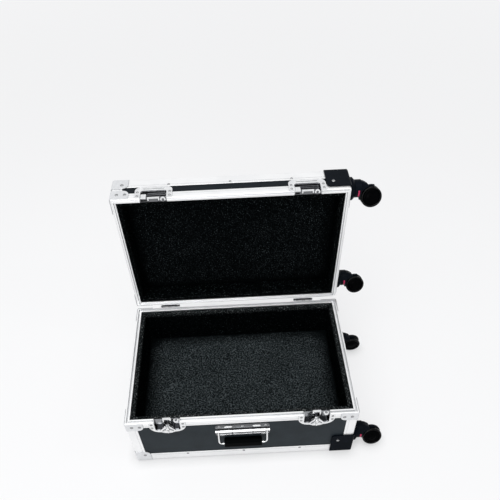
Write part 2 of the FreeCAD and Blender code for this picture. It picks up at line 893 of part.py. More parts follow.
def latch_pair(piece):
    """The same latch piece at the left and right latch."""
    pair = []
    for centre in (-latch_offset, latch_offset):
        copy = piece.copy()
        copy.translate(X_AXIS * centre)
        pair.append(copy)
    return pair


# Front handle

handle_top = base_rim_z - handle_top_drop
handle_low = handle_top - handle_height
handle_face_y = panel_front_y - handle_plate_thickness
bail_arm_offset = handle_width * half_share - bail_arm_inset
half_grip = bail_arm_offset - grip_end_gap
BAIL_PIVOT = Vector(0, handle_face_y - pivot_lift, handle_top - pivot_drop)


def handle_plate():
    """Pressed plate with a barrel in three lengths for the bail and a turned-out lower lip."""
    half_plate = handle_width * half_share
    corners = [(-half_plate, handle_low, handle_bottom_round), (half_plate, handle_low, handle_bottom_round),
               (half_plate, handle_top, handle_top_round), (-half_plate, handle_top, handle_top_round)]
    plate = extruded(corners, front_plane(panel_front_y), Y_AXIS * -handle_plate_thickness)
    lip = block((-bail_arm_offset, bail_arm_offset), (panel_front_y, handle_face_y - handle_lip),
                (handle_low, handle_low + handle_plate_thickness))
    barrel = cylinder(BAIL_PIVOT - X_AXIS * half_plate, BAIL_PIVOT + X_AXIS * half_plate, barrel_radius)
    behind = block((-half_plate - overrun, half_plate + overrun), (panel_front_y, panel_front_y + overrun),
                   (handle_low, handle_top))
    reach = X_AXIS * (half_plate + overrun)
    bore = cylinder(BAIL_PIVOT - reach, BAIL_PIVOT + reach, bail_wire_radius + running_gap)
    barrel_span = (BAIL_PIVOT.z - barrel_radius, BAIL_PIVOT.z + barrel_radius)
    notch_half = bail_wire_radius + notch_gap
    notches = [block((side * bail_arm_offset - notch_half, side * bail_arm_offset + notch_half),
                     (handle_face_y, handle_face_y - overrun), barrel_span) for side in (-1, 1)]
    front = BAIL_PIVOT.y - barrel_radius
    half_seam = seam_width * half_share
    seam_offset = handle_width * seam_share
    seams = [block((side * seam_offset - half_seam, side * seam_offset + half_seam),
                   (front, front + seam_depth), barrel_span) for side in (-1, 1)]
    bosses = [plate_boss(side) for side in (-1, 1)]
    return fused([plate, lip, barrel] + bosses).cut([behind, bore] + notches + seams)


def plate_boss(side):
    """Long low swelling pressed into the plate between two rivets."""
    middle = side * handle_width * emboss_share
    level = handle_top - handle_top_round
    reach = emboss_length * half_share
    rise = emboss_width * half_share
    span = rectangle((middle - reach, middle + reach), (level - rise, level + rise), rise - rail_tip_round)
    return extruded(span, front_plane(handle_face_y), Y_AXIS * -emboss_height)


def leaned(shape):
    """A bail piece swung from straight down to where the grip rests near the panel."""
    return turned(shape, BAIL_PIVOT, X_AXIS, -bail_lean)


def handle_bail():
    """Bent wire: a bar in the barrel, two arms and the bar that carries the grip."""
    low_z = BAIL_PIVOT.z - bail_drop
    arms = [Vector(side * bail_arm_offset, BAIL_PIVOT.y, BAIL_PIVOT.z) for side in (-1, 1)]
    bends = [Vector(side * bail_arm_offset, BAIL_PIVOT.y, low_z) for side in (-1, 1)]
    arc_ends = []
    for side, arm, bend in zip((-1, 1), arms, bends):
        above = bend + Z_AXIS * bail_bend
        beside = bend - X_AXIS * (side * bail_bend)
        turn = math.radians(eighth_turn)
        slack = bail_bend * (1 - math.cos(turn))
        middle = bend + Vector(-side * slack, 0, slack)
        arc_ends.append((arm, above, middle, beside))
    (arm_a, above_a, middle_a, beside_a), (arm_b, above_b, middle_b, beside_b) = arc_ends
    spine = [Part.LineSegment(arm_a, above_a), Part.Arc(above_a, middle_a, beside_a),
             Part.LineSegment(beside_a, beside_b), Part.Arc(beside_b, middle_b, above_b),
             Part.LineSegment(above_b, arm_b)]
    path = Part.Wire([segment.toShape() for segment in spine])
    ring = Part.Wire([Part.makeCircle(bail_wire_radius, arm_a, Z_AXIS)])
    loop = path.makePipeShell([ring], True, False)
    half_bar = handle_width * half_share
    bar = cylinder(BAIL_PIVOT - X_AXIS * half_bar, BAIL_PIVOT + X_AXIS * half_bar, bail_wire_radius)
    return leaned(fused([loop, bar]))


def handle_grip():
    """Rubber moulding with a tall rounded section on the lower bar of the bail."""
    centre = Vector(0, BAIL_PIVOT.y, BAIL_PIVOT.z - bail_drop)
    section = rectangle((centre.y - grip_half_depth, centre.y + grip_half_depth),
                        (centre.z - grip_below, centre.z + grip_above), grip_round)
    sleeve = extruded(section, end_plane(-half_grip), X_AXIS * (half_grip + half_grip))
    rims = [edge for edge in sleeve.Edges if abs(abs(edge.CenterOfMass.x) - half_grip) < grip_fit]
    sleeve = sleeve.makeChamfer(grip_end_chamfer, rims)
    reach = X_AXIS * (half_grip + overrun)
    bore = cylinder(centre - reach, centre + reach, bail_wire_radius + grip_fit)
    return leaned(sleeve.cut(bore))


# Hinges

def hinge_leaf(sense):
    """One leaf with its knuckles; sense is -1 for the base leaf and 1 for the closed lid's leaf."""
    half_barrel = hinge_width * half_share
    half_leaf = half_barrel + ear_gap + ear_thickness
    pitch = hinge_width / knuckle_count
    near = hinge_z + sense * leaf_clear
    leaf = block((-half_leaf, half_leaf), (half_width, half_width + leaf_thickness),
                 (near, hinge_z + sense * leaf_reach))
    pieces = [leaf]
    first = 0 if sense < 0 else 1
    for index in range(first, knuckle_count, 2):
        start = -half_barrel + index * pitch + knuckle_gap * half_share
        end = start + pitch - knuckle_gap
        pieces.append(cylinder(HINGE_POINT + X_AXIS * start, HINGE_POINT + X_AXIS * end, knuckle_radius))
        pieces.append(block((start, end), (half_width, hinge_y),
                            (hinge_z + sense * knuckle_radius, hinge_z + sense * leaf_clear)))
    if sense < 0:
        pieces.extend(hinge_ears(half_barrel + ear_gap))
    reach = half_leaf + overrun
    bore = cylinder(HINGE_POINT - X_AXIS * reach, HINGE_POINT + X_AXIS * reach, pin_radius + pin_gap)
    return fused(pieces).cut(bore)


def hinge_ears(start):
    """Cheeks at both ends of the base leaf: the open lid's leaf comes to rest on them."""
    stop = hinge_setback - leaf_thickness - stop_gap
    corners = [(-hinge_setback, -ear_root), (leaf_thickness - hinge_setback, -ear_root), (ear_reach, 0),
               (ear_reach, stop), (leaf_thickness, stop), (leaf_thickness - hinge_setback, 0),
               (-hinge_setback, 0)]
    ear = extruded([(hinge_y + y, hinge_z + z, 0) for y, z in corners], end_plane(start),
                   X_AXIS * ear_thickness)
    return [ear, mirrored_x(ear)]


def hinge_pin():
    """Pin with its head at the side towards the middle of the case, for the right hinge."""
    ear_end = hinge_width * half_share + ear_gap + ear_thickness
    head = HINGE_POINT - X_AXIS * (ear_end + ear_gap)
    shank = cylinder(head, HINGE_POINT + X_AXIS * (ear_end + ear_gap), pin_radius)
    return fused([shank, cylinder(head, head - X_AXIS * pin_head_length, pin_head_radius)])


def hinge_pair(piece):
    """The same hinge piece at the right hinge and, turned about, at the left one."""
    right = piece.copy()
    right.translate(X_AXIS * hinge_offset)
    return [right, mirrored_x(right)]


# Pull handle

panel_left_x = -half_length + panel_inset
tray_back_x = panel_left_x + tray_depth
sleeve_start_x = tray_back_x
sleeve_end_x = half_length - anchor_inset
sleeve_length = sleeve_end_x - sleeve_start_x


def pull_section(width, height, radius):
    """A section across the pull handle, centred on its level."""
    return rectangle((-width * half_share, width * half_share),
                     (pull_level - height * half_share, pull_level + height * half_share), radius)


def pull_tray_opening():
    section = pull_section((tray_half_width + tray_wall + panel_fit) * 2,
                           (tray_half_height + tray_wall + panel_fit) * 2, tray_round)
    reach = overrun + panel_thickness + overrun
    return extruded(section, end_plane(panel_left_x - overrun), X_AXIS * reach)


def at_tubes(shape):
    """A shape on the middle line, copied to the two tubes."""
    pair = []
    for side in (-1, 1):
        copy = shape.copy()
        copy.translate(Y_AXIS * (side * pull_spacing * half_share))
        pair.append(copy)
    return pair


sleeve_bore_width = sleeve_width - sleeve_wall - sleeve_wall
sleeve_bore_height = sleeve_height - sleeve_wall - sleeve_wall
tube_width = sleeve_bore_width - tube_gap - tube_gap
tube_height = sleeve_bore_height - tube_gap - tube_gap


def pull_bezel():
    """Moulded cup in the end panel, with a lip outside and an opening for each tube."""
    outer_width = tray_half_width + tray_wall
    outer_height = tray_half_height + tray_wall
    lip = extruded(pull_section((outer_width + bezel_lip) * 2, (outer_height + bezel_lip) * 2,
                                tray_round + bezel_lip),
                   end_plane(panel_left_x), X_AXIS * -panel_inset)
    cup = extruded(pull_section(outer_width * 2, outer_height * 2, tray_round),
                   end_plane(panel_left_x - panel_inset),
                   X_AXIS * (panel_inset + tray_depth))
    hollow = extruded(pull_section(tray_half_width * 2, tray_half_height * 2, tray_round - tray_wall),
                      end_plane(panel_left_x - overrun), X_AXIS * (overrun + tray_depth - tray_wall))
    holes = at_tubes(extruded(pull_section(sleeve_bore_width, sleeve_bore_height,
                                           sleeve_round - sleeve_wall),
                              end_plane(tray_back_x - overrun), X_AXIS * (overrun + overrun)))
    return fused([lip, cup]).cut([hollow] + holes)


def pull_sleeves():
    outer = extruded(pull_section(sleeve_width, sleeve_height, sleeve_round), end_plane(sleeve_start_x),
                     X_AXIS * sleeve_length)
    bore = extruded(pull_section(sleeve_bore_width, sleeve_bore_height, sleeve_round - sleeve_wall),
                    end_plane(sleeve_start_x - overrun), X_AXIS * (overrun + sleeve_length + overrun))
    return at_tubes(outer.cut(bore))


def pull_anchor():
    """Block on the bottom panel that holds the far ends of the sleeves."""
    half_anchor = (pull_spacing + sleeve_width) * half_share + anchor_margin
    return block((sleeve_end_x, sleeve_end_x + anchor_thickness), (-half_anchor, half_anchor),
                 (base_panel_top, pull_level + sleeve_height * half_share))


grip_front_x = panel_left_x - panel_inset + pull_grip_set_in
grip_back_x = grip_front_x + pull_grip_depth
tube_length = sleeve_end_x - tube_end_gap - grip_back_x


def pull_tubes():
    outer = extruded(pull_section(tube_width, tube_height, sleeve_round - sleeve_wall - tube_gap),
                     end_plane(grip_back_x),
                     X_AXIS * tube_length)
    bore = extruded(pull_section(tube_width - tube_wall - tube_wall, tube_height - tube_wall - tube_wall,
                                 (sleeve_round - sleeve_wall - tube_gap) * half_share),
                    end_plane(grip_back_x - overrun), X_AXIS * (overrun + tube_length + overrun))
    return at_tubes(outer.cut(bore))


def pull_grip():
    """Bar that fills the cup, with rounded front edges and a pocket for the button."""
    half_width_of_grip = tray_half_width - pull_grip_gap
    half_height_of_grip = tray_half_height - pull_grip_gap
    bar = block((grip_front_x, grip_back_x), (-half_width_of_grip, half_width_of_grip),
                (pull_level - half_height_of_grip, pull_level + half_height_of_grip))
    front = [Vector(grip_front_x, 0, pull_level + side * half_height_of_grip) for side in (-1, 1)]
    ends = [Vector(grip_front_x + pull_grip_depth * half_share, side * half_width_of_grip,
                   pull_level + level * half_height_of_grip)
            for side in (-1, 1) for level in (-1, 1)]
    bar = bar.makeFillet(pull_grip_round, edges_at(bar, front + ends))
    pocket = extruded(pull_section(button_width + button_gap + button_gap, button_height + button_gap
                                   + button_gap, button_round),
                      end_plane(grip_front_x - overrun), X_AXIS * (overrun + button_depth + button_travel))
    return bar.cut(pocket)


def pull_button():
    return extruded(pull_section(button_width, button_height, button_round),
                    end_plane(grip_front_x - button_proud),
                    X_AXIS * (button_proud + button_depth - button_gap))


# Rivets

def rivet(point, outwards, radius):
    """Rivet head with a sloping side, seated on a face."""
    edge = Part.makeCylinder(radius, rivet_edge)
    crown = Part.makeCone(radius, radius * rivet_face_share, rivet_height - rivet_edge, Z_AXIS * rivet_edge)
    head = edge.fuse(crown)
    head.Placement = FreeCAD.Placement(point, FreeCAD.Rotation(Z_AXIS, outwards))
    return head


FRONT = Y_AXIS * -1
BACK = Y_AXIS
LEFT = X_AXIS * -1
RIGHT = X_AXIS


def rail_rivets(half):
    """Rivets along the edge and rim rails of a half, on its four sides and its outer face."""
    heads = []
    edge_z = half.rise(edge_leg - rail_rivet_inset)
    outer = Z_AXIS * -half.sense
    for share in rail_rivet_shares:
        for side, direction in ((-1, FRONT), (1, BACK)):
            heads.append(rivet(Vector(share * case_length, side * half_width, edge_z), direction,
                               small_rivet_radius))
            inner = side * (half_width - edge_leg + rail_rivet_inset)
            heads.append(rivet(Vector(share * case_length, inner, half.outer_z), outer, small_rivet_radius))
    for share in end_rivet_shares:
        for side, direction in ((-1, LEFT), (1, RIGHT)):
            heads.append(rivet(Vector(side * half_length, share * case_width, edge_z), direction,
                               small_rivet_radius))
    rim_z = half.drop(rim_leg * half_share)
    for share in end_rivet_shares:
        for side, direction in ((-1, LEFT), (1, RIGHT)):
            heads.append(rivet(Vector(side * half_length, share * case_width, rim_z), direction,
                               small_rivet_radius))
    return heads


def brace_rivets(half, right):
    """Two rivets on each leg of the rim braces at one end."""
    heads = []
    end = 1 if right else -1
    level = half.drop(brace_height * half_share)
    for share in rivet_brace_shares:
        reach = share * brace_leg
        for side, direction in ((-1, FRONT), (1, BACK)):
            heads.append(rivet(Vector(end * (half_length - reach), side * (half_width + brace_wall),
                                      level), direction,
                               rivet_radius))
            heads.append(rivet(Vector(end * (half_length + brace_wall), side * (half_width - reach), level),
                               RIGHT if right else LEFT, rivet_radius))
    return heads


def cap_rivets(half, rise):
    """A rivet on each upright leg of the left corner caps."""
    heads = []
    level = half.rise(rise * rivet_cap_share)
    for side, direction in ((-1, FRONT), (1, BACK)):
        heads.append(rivet(Vector(-half_length + cap_leg_x * rivet_cap_share,
                                  side * (half_width + corner_stand), level),
                           direction, rivet_radius))
        heads.append(rivet(Vector(-half_length - corner_stand,
                                  side * (half_width - cap_leg_y * rivet_cap_share), level),
                           LEFT, rivet_radius))
    return heads


def guard_rivets(half, rise):
    """A rivet on the long leg of each caster corner."""
    level = half.rise(rise * rivet_guard_share)
    return [rivet(Vector(half_length - guard_leg_x * rivet_guard_leg_share,
                         side * (half_width + guard_wall), level),
                  direction, rivet_radius) for side, direction in ((-1, FRONT), (1, BACK))]


def latch_rivets(reach, sense, level):
    """Two rivets on each side of a latch plate."""
    heads = []
    middle = (latch_width + pan_width) * half_share * half_share
    for centre in (-latch_offset, latch_offset):
        for side in (-1, 1):
            for share in rivet_latch_shares:
                place = Vector(centre + side * middle, front_y - latch_plate, level + sense * reach * share)
                heads.append(rivet(place, FRONT, small_rivet_radius))
    return heads


def hinge_rivets(sense):
    """Two rivets on each hinge leaf."""
    heads = []
    level = hinge_z + sense * leaf_reach * rivet_leaf_share
    for centre in (-hinge_offset, hinge_offset):
        for side in (-1, 1):
            place = Vector(centre + side * hinge_width * rivet_hinge_share, half_width + leaf_thickness,
                           level)
            heads.append(rivet(place, BACK, small_rivet_radius))
    return heads


def handle_rivets():
    """Three rivets along the top of the handle plate."""
    reach = handle_width * half_share - handle_top_round - handle_plate_thickness
    level = handle_top - handle_top_round
    return [rivet(Vector(side * reach, handle_face_y, level), FRONT, rivet_radius) for side in (-1, 0, 1)]


def base_nodes():
    cuts = latch_cuts(BASE, pan_drop)
    front_panel = long_panel(BASE)
    left_panel = end_panel(BASE)
    brace = rim_brace()
    inner = foam_start + foam_thickness + foam_gap
    braces = [seated(brace, BASE, BASE.rim_z, right, back)
              for right in (False, True) for back in (False, True)]
    rivets = (rail_rivets(BASE) + brace_rivets(BASE, False) + brace_rivets(BASE, True)
              + cap_rivets(BASE, base_cap_rise) + guard_rivets(BASE, base_guard_rise)
              + latch_rivets(dish_drop, -1, base_rim_z) + hinge_rivets(-1) + handle_rivets())
    return {
        "base_bottom_panel": [outer_panel(BASE)],
        "base_front_panel": [front_panel.cut(cuts)],
        "base_back_panel": [mirrored_y(front_panel)],
        "base_left_panel": [left_panel.cut(pull_tray_opening())],
        "base_right_panel": [mirrored_x(left_panel)],
        "base_bottom_rails": edge_rails(BASE),
        "base_upright_rails": upright_rails(BASE),
        "base_rim_rails": rim_rails(BASE, cuts),
        "base_corner_caps": corner_caps(BASE, base_cap_rise),
        "base_rim_braces": braces,
        "base_caster_corners": caster_corners(BASE, base_guard_leg_y, base_guard_rise, base_swivel_inset,
                                              base_swivel_rise),
        "base_rivets": rivets,
        "base_wall_foam": lining_boards(floor_foam_low, BASE.drop(foam_drop)),
        "floor_foam": [floor_level_board(inner, floor_foam_low, floor_level)],
        "false_floor": [floor_level_board(foam_start, floor_board_low, floor_foam_low)],
        "floor_bearers": floor_bearers(),
        "latch_dishes": latch_pair(latch_dish()),
        "handle_plate": [handle_plate()],
        "hinge_base_leaves": hinge_pair(hinge_leaf(-1)),
        "hinge_pins": hinge_pair(hinge_pin()),
        "pull_handle_bezel": [pull_bezel()],
        "pull_handle_sleeves": pull_sleeves(),
        "pull_handle_anchor": [pull_anchor()],
    }


def lid_nodes():
    """Pieces of the lid, made closed and swung open."""
    cuts = latch_cuts(LID, pan_rise)
    front_panel = long_panel(LID)
    left_panel = end_panel(LID)
    brace = rim_brace()
    lining_top = LID.rise(foam_start + foam_thickness)
    rivets = (rail_rivets(LID) + brace_rivets(LID, False) + cap_rivets(LID, lid_cap_rise)
              + guard_rivets(LID, lid_guard_rise) + latch_rivets(keeper_rise, 1, lid_rim_z)
              + hinge_rivets(1))
    closed = {
        "lid_top_panel": [outer_panel(LID)],
        "lid_front_panel": [front_panel.cut(cuts)],
        "lid_back_panel": [mirrored_y(front_panel)],
        "lid_end_panels": [left_panel, mirrored_x(left_panel)],
        "lid_top_rails": edge_rails(LID),
        "lid_upright_rails": upright_rails(LID),
        "lid_rim_rails": rim_rails(LID, cuts),
        "lid_corner_caps": corner_caps(LID, lid_cap_rise),
        "lid_rim_braces": [seated(brace, LID, LID.rim_z, False, back) for back in (False, True)],
        "lid_caster_corners": caster_corners(LID, lid_guard_leg_y, lid_guard_rise, lid_swivel_inset,
                                             lid_swivel_rise),
        "lid_rivets": rivets,
        "lid_wall_foam": lining_boards(lining_top - foam_gap, LID.drop(foam_drop)),
        "lid_top_foam": [floor_level_board(foam_start, LID.rise(foam_start), lining_top)],
        "latch_keepers": latch_pair(latch_keeper()),
        "hinge_lid_leaves": hinge_pair(hinge_leaf(1)),
    }
    return {name: [opened(shape) for shape in shapes] for name, shapes in closed.items()}


def moving_nodes():
    nodes = {}
    for piece, shape in (("latch_wing", latch_wing()), ("latch_hook", latch_hook())):
        left, right = latch_pair(shape)
        nodes[piece + "_left"] = [left]
        nodes[piece + "_right"] = [right]
    nodes["handle_bail"] = [handle_bail()]
    nodes["handle_grip"] = [handle_grip()]
    nodes["pull_handle_tubes"] = pull_tubes()
    nodes["pull_handle_grip"] = [pull_grip()]
    nodes["pull_handle_button"] = [pull_button()]
    fork = caster_fork()
    axle = caster_axle()
    wheel = caster_wheel()
    for name, mouth in swivel_places():
        for piece, shapes in (("fork", [fork]), ("axle", [axle]), ("wheels", [wheel, mirrored_y(wheel)])):
            placed = [turned(shape, ORIGIN, X_AXIS, -caster_turns[name]) for shape in shapes]
            for shape in placed:
                shape.translate(mouth)
            nodes["caster_" + piece + "_" + name] = placed
    return nodes


def main():
    os.makedirs("parts", exist_ok=True)
    for nodes in (base_nodes(), lid_nodes(), moving_nodes()):
        for name, shapes in nodes.items():
            save(name, shapes)
    print("hinge axis", HINGE_POINT)
    print("bail pivot", BAIL_PIVOT, "lean", bail_lean)
    print("hook pivot", HOOK_PIVOT, "spindle height", spindle_z)
    for name, mouth in swivel_places():
        print("swivel", name, mouth)


main()
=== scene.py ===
import json
import math

import bmesh
import bpy
from mathutils import Matrix, Vector


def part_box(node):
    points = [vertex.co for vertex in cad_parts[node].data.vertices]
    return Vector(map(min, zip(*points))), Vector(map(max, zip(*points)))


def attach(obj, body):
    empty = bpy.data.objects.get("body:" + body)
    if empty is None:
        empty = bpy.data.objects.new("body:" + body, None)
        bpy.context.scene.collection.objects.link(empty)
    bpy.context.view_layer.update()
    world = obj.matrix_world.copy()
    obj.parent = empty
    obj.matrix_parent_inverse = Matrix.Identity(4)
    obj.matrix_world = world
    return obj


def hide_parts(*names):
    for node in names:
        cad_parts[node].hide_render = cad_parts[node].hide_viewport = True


# Camera, in metres and in pixels of the square frame
FRAME_PIXELS = 500.0
FOCAL_PIXELS = 528.9
CENTRE_PIXELS = (243.8, 312.0)
SENSOR_WIDTH = 36.0
CAMERA_PLACE = Vector((0.00695, -0.80143, 1.27894))
CAMERA_RIGHT = Vector((0.99873, -0.04272, -0.02675))
CAMERA_DOWN = Vector((-0.04979, -0.75348, -0.65558))
CLIP_NEAR = 0.05
CLIP_FAR = 60.0

# Stage
FLOOR_SIZE = 12.0
FLOOR_GLOW = 0.74
FLOOR_FADE = (1.5, 6.0)
FLOOR_CONTACT_SHADOW = 0.55
FLOOR_CONTACT_SHADOW_REACH = 0.03
FLOOR_TONE = (0.95, 0.953, 0.96)
FLOOR_GLOW_TONE = (0.968, 0.97, 0.98, 1.0)
BACKGROUND_TONE = (0.93, 0.935, 0.945, 1.0)
SURROUNDING_LIGHT = 0.42

# Lamps: name, place, target, size in metres and power in watts
LAMPS = (
    ("overhead_lamp", (-0.4, -0.5, 2.6), (0.0, 0.1, 0.2), 2.2, 40.0),
    ("front_lamp", (-0.5, -2.4, 1.3), (0.0, 0.0, 0.2), 1.6, 17.0),
    ("left_sparkle", (-1.2, -1.5, 2.0), (0.1, 0.0, 0.2), 0.14, 2.6),
    ("right_sparkle", (1.7, -0.5, 1.9), (0.1, 0.0, 0.2), 0.14, 2.2),
)

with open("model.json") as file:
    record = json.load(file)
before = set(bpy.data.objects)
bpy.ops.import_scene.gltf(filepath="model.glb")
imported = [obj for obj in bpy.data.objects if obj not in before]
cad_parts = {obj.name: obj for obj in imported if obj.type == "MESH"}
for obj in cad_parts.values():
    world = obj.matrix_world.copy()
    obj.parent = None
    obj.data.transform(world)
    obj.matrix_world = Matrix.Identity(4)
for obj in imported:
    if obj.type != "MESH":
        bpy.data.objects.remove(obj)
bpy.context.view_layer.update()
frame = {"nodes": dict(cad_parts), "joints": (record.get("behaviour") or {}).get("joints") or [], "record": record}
NODES = frame["nodes"]
CASTERS = ("base_front", "base_back", "lid_front", "lid_back")


def joint(name):
    return next(entry for entry in frame["joints"] if entry["name"] == name)


def aim_camera():
    """A camera at the photograph's place, with its off-centre frame."""
    data = bpy.data.cameras.new("photo_camera")
    data.sensor_width = SENSOR_WIDTH
    data.lens = FOCAL_PIXELS / FRAME_PIXELS * SENSOR_WIDTH
    data.shift_x = 0.5 - CENTRE_PIXELS[0] / FRAME_PIXELS
    data.shift_y = CENTRE_PIXELS[1] / FRAME_PIXELS - 0.5
    data.clip_start = CLIP_NEAR
    data.clip_end = CLIP_FAR
    camera = bpy.data.objects.new("photo_camera", data)
    bpy.context.scene.collection.objects.link(camera)
    right = CAMERA_RIGHT.normalized()
    down = (CAMERA_DOWN - right * CAMERA_DOWN.dot(right)).normalized()
    back = down.cross(right)
    turn = Matrix((right, -down, back)).transposed()
    camera.matrix_world = Matrix.Translation(CAMERA_PLACE) @ turn.to_4x4()
    bpy.context.scene.camera = camera


# Light and floor

def seen_rays(tree):
    """One for rays from the camera, from glossy surfaces and through clear ones, otherwise zero."""
    path = tree.nodes.new("ShaderNodeLightPath")
    total = path.outputs["Is Camera Ray"]
    for name in ("Is Glossy Ray", "Is Transmission Ray"):
        either = tree.nodes.new("ShaderNodeMath")
        either.operation = "MAXIMUM"
        tree.links.new(total, either.inputs[0])
        tree.links.new(path.outputs[name], either.inputs[1])
        total = either.outputs["Value"]
    return total


def light_studio():
    """Pale surroundings, a large soft lamp overhead, a weaker one in front and two small bright ones."""
    world = bpy.data.worlds.new("studio")
    bpy.context.scene.world = world
    world.use_nodes = True
    tree = world.node_tree
    tree.nodes.clear()
    output = tree.nodes.new("ShaderNodeOutputWorld")
    mix = tree.nodes.new("ShaderNodeMixShader")
    seen = tree.nodes.new("ShaderNodeBackground")
    lit = tree.nodes.new("ShaderNodeBackground")
    seen.inputs["Color"].default_value = BACKGROUND_TONE
    seen.inputs["Strength"].default_value = 1.0
    lit.inputs["Color"].default_value = (1.0, 1.0, 1.0, 1.0)
    lit.inputs["Strength"].default_value = SURROUNDING_LIGHT
    tree.links.new(seen_rays(tree), mix.inputs["Fac"])
    tree.links.new(lit.outputs["Background"], mix.inputs[1])
    tree.links.new(seen.outputs["Background"], mix.inputs[2])
    tree.links.new(mix.outputs["Shader"], output.inputs["Surface"])
    for lamp in LAMPS:
        add_lamp(*lamp)


def add_lamp(name, place, target, size, power):
    data = bpy.data.lights.new(name, "AREA")
    data.size = size
    data.energy = power
    lamp = bpy.data.objects.new(name, data)
    bpy.context.scene.collection.objects.link(lamp)
    lamp.location = place
    lamp.rotation_mode = "QUATERNION"
    lamp.rotation_quaternion = (Vector(target) - Vector(place)).to_track_quat("-Z", "Y")


def lay_floor():
    """A pale floor, a little brighter to the eye than the light on it, with a painted contact shadow where things
    stand.
    """
    mesh = bpy.data.meshes.new("floor")
    shape = bmesh.new()
    bmesh.ops.create_grid(shape, x_segments=1, y_segments=1, size=FLOOR_SIZE)
    shape.to_mesh(mesh)
    shape.free()
    floor = bpy.data.objects.new("floor", mesh)
    bpy.context.scene.collection.objects.link(floor)
    finish = Finish("pale_floor", FLOOR_TONE, 0.8, 0.0, 0.1)
    tree = finish.material.node_tree
    glow = tree.nodes.new("ShaderNodeEmission")
    glow.inputs["Color"].default_value = FLOOR_GLOW_TONE
    # painted contact shadow: the glow dims where ambient occlusion finds things standing close
    contact_shadow = finish.spread(finish.crevice(FLOOR_CONTACT_SHADOW_REACH), 0.2, 1.0, FLOOR_CONTACT_SHADOW, 1.0)
    tree.links.new(contact_shadow, glow.inputs["Strength"])
    mix = tree.nodes.new("ShaderNodeMixShader")
    far = finish.spread(finish.away(), *FLOOR_FADE, FLOOR_GLOW, 1.0)
    share = finish.combined("MULTIPLY", seen_rays(tree), far)
    tree.links.new(share, mix.inputs["Fac"])
    tree.links.new(finish.shader.outputs["BSDF"], mix.inputs[1])
    tree.links.new(glow.outputs["Emission"], mix.inputs[2])
    tree.links.new(mix.outputs["Shader"], tree.nodes["Material Output"].inputs["Surface"])
    mesh.materials.append(finish.material)


# Finishes

# Places of the colour sockets of the mix node
MIX_FIRST = 6
MIX_SECOND = 7
MIX_RESULT = 2

CREVICE_SAMPLES = 8
NOISE_RANGE = (0.3, 0.7)
BAND_EDGE = 0.0003


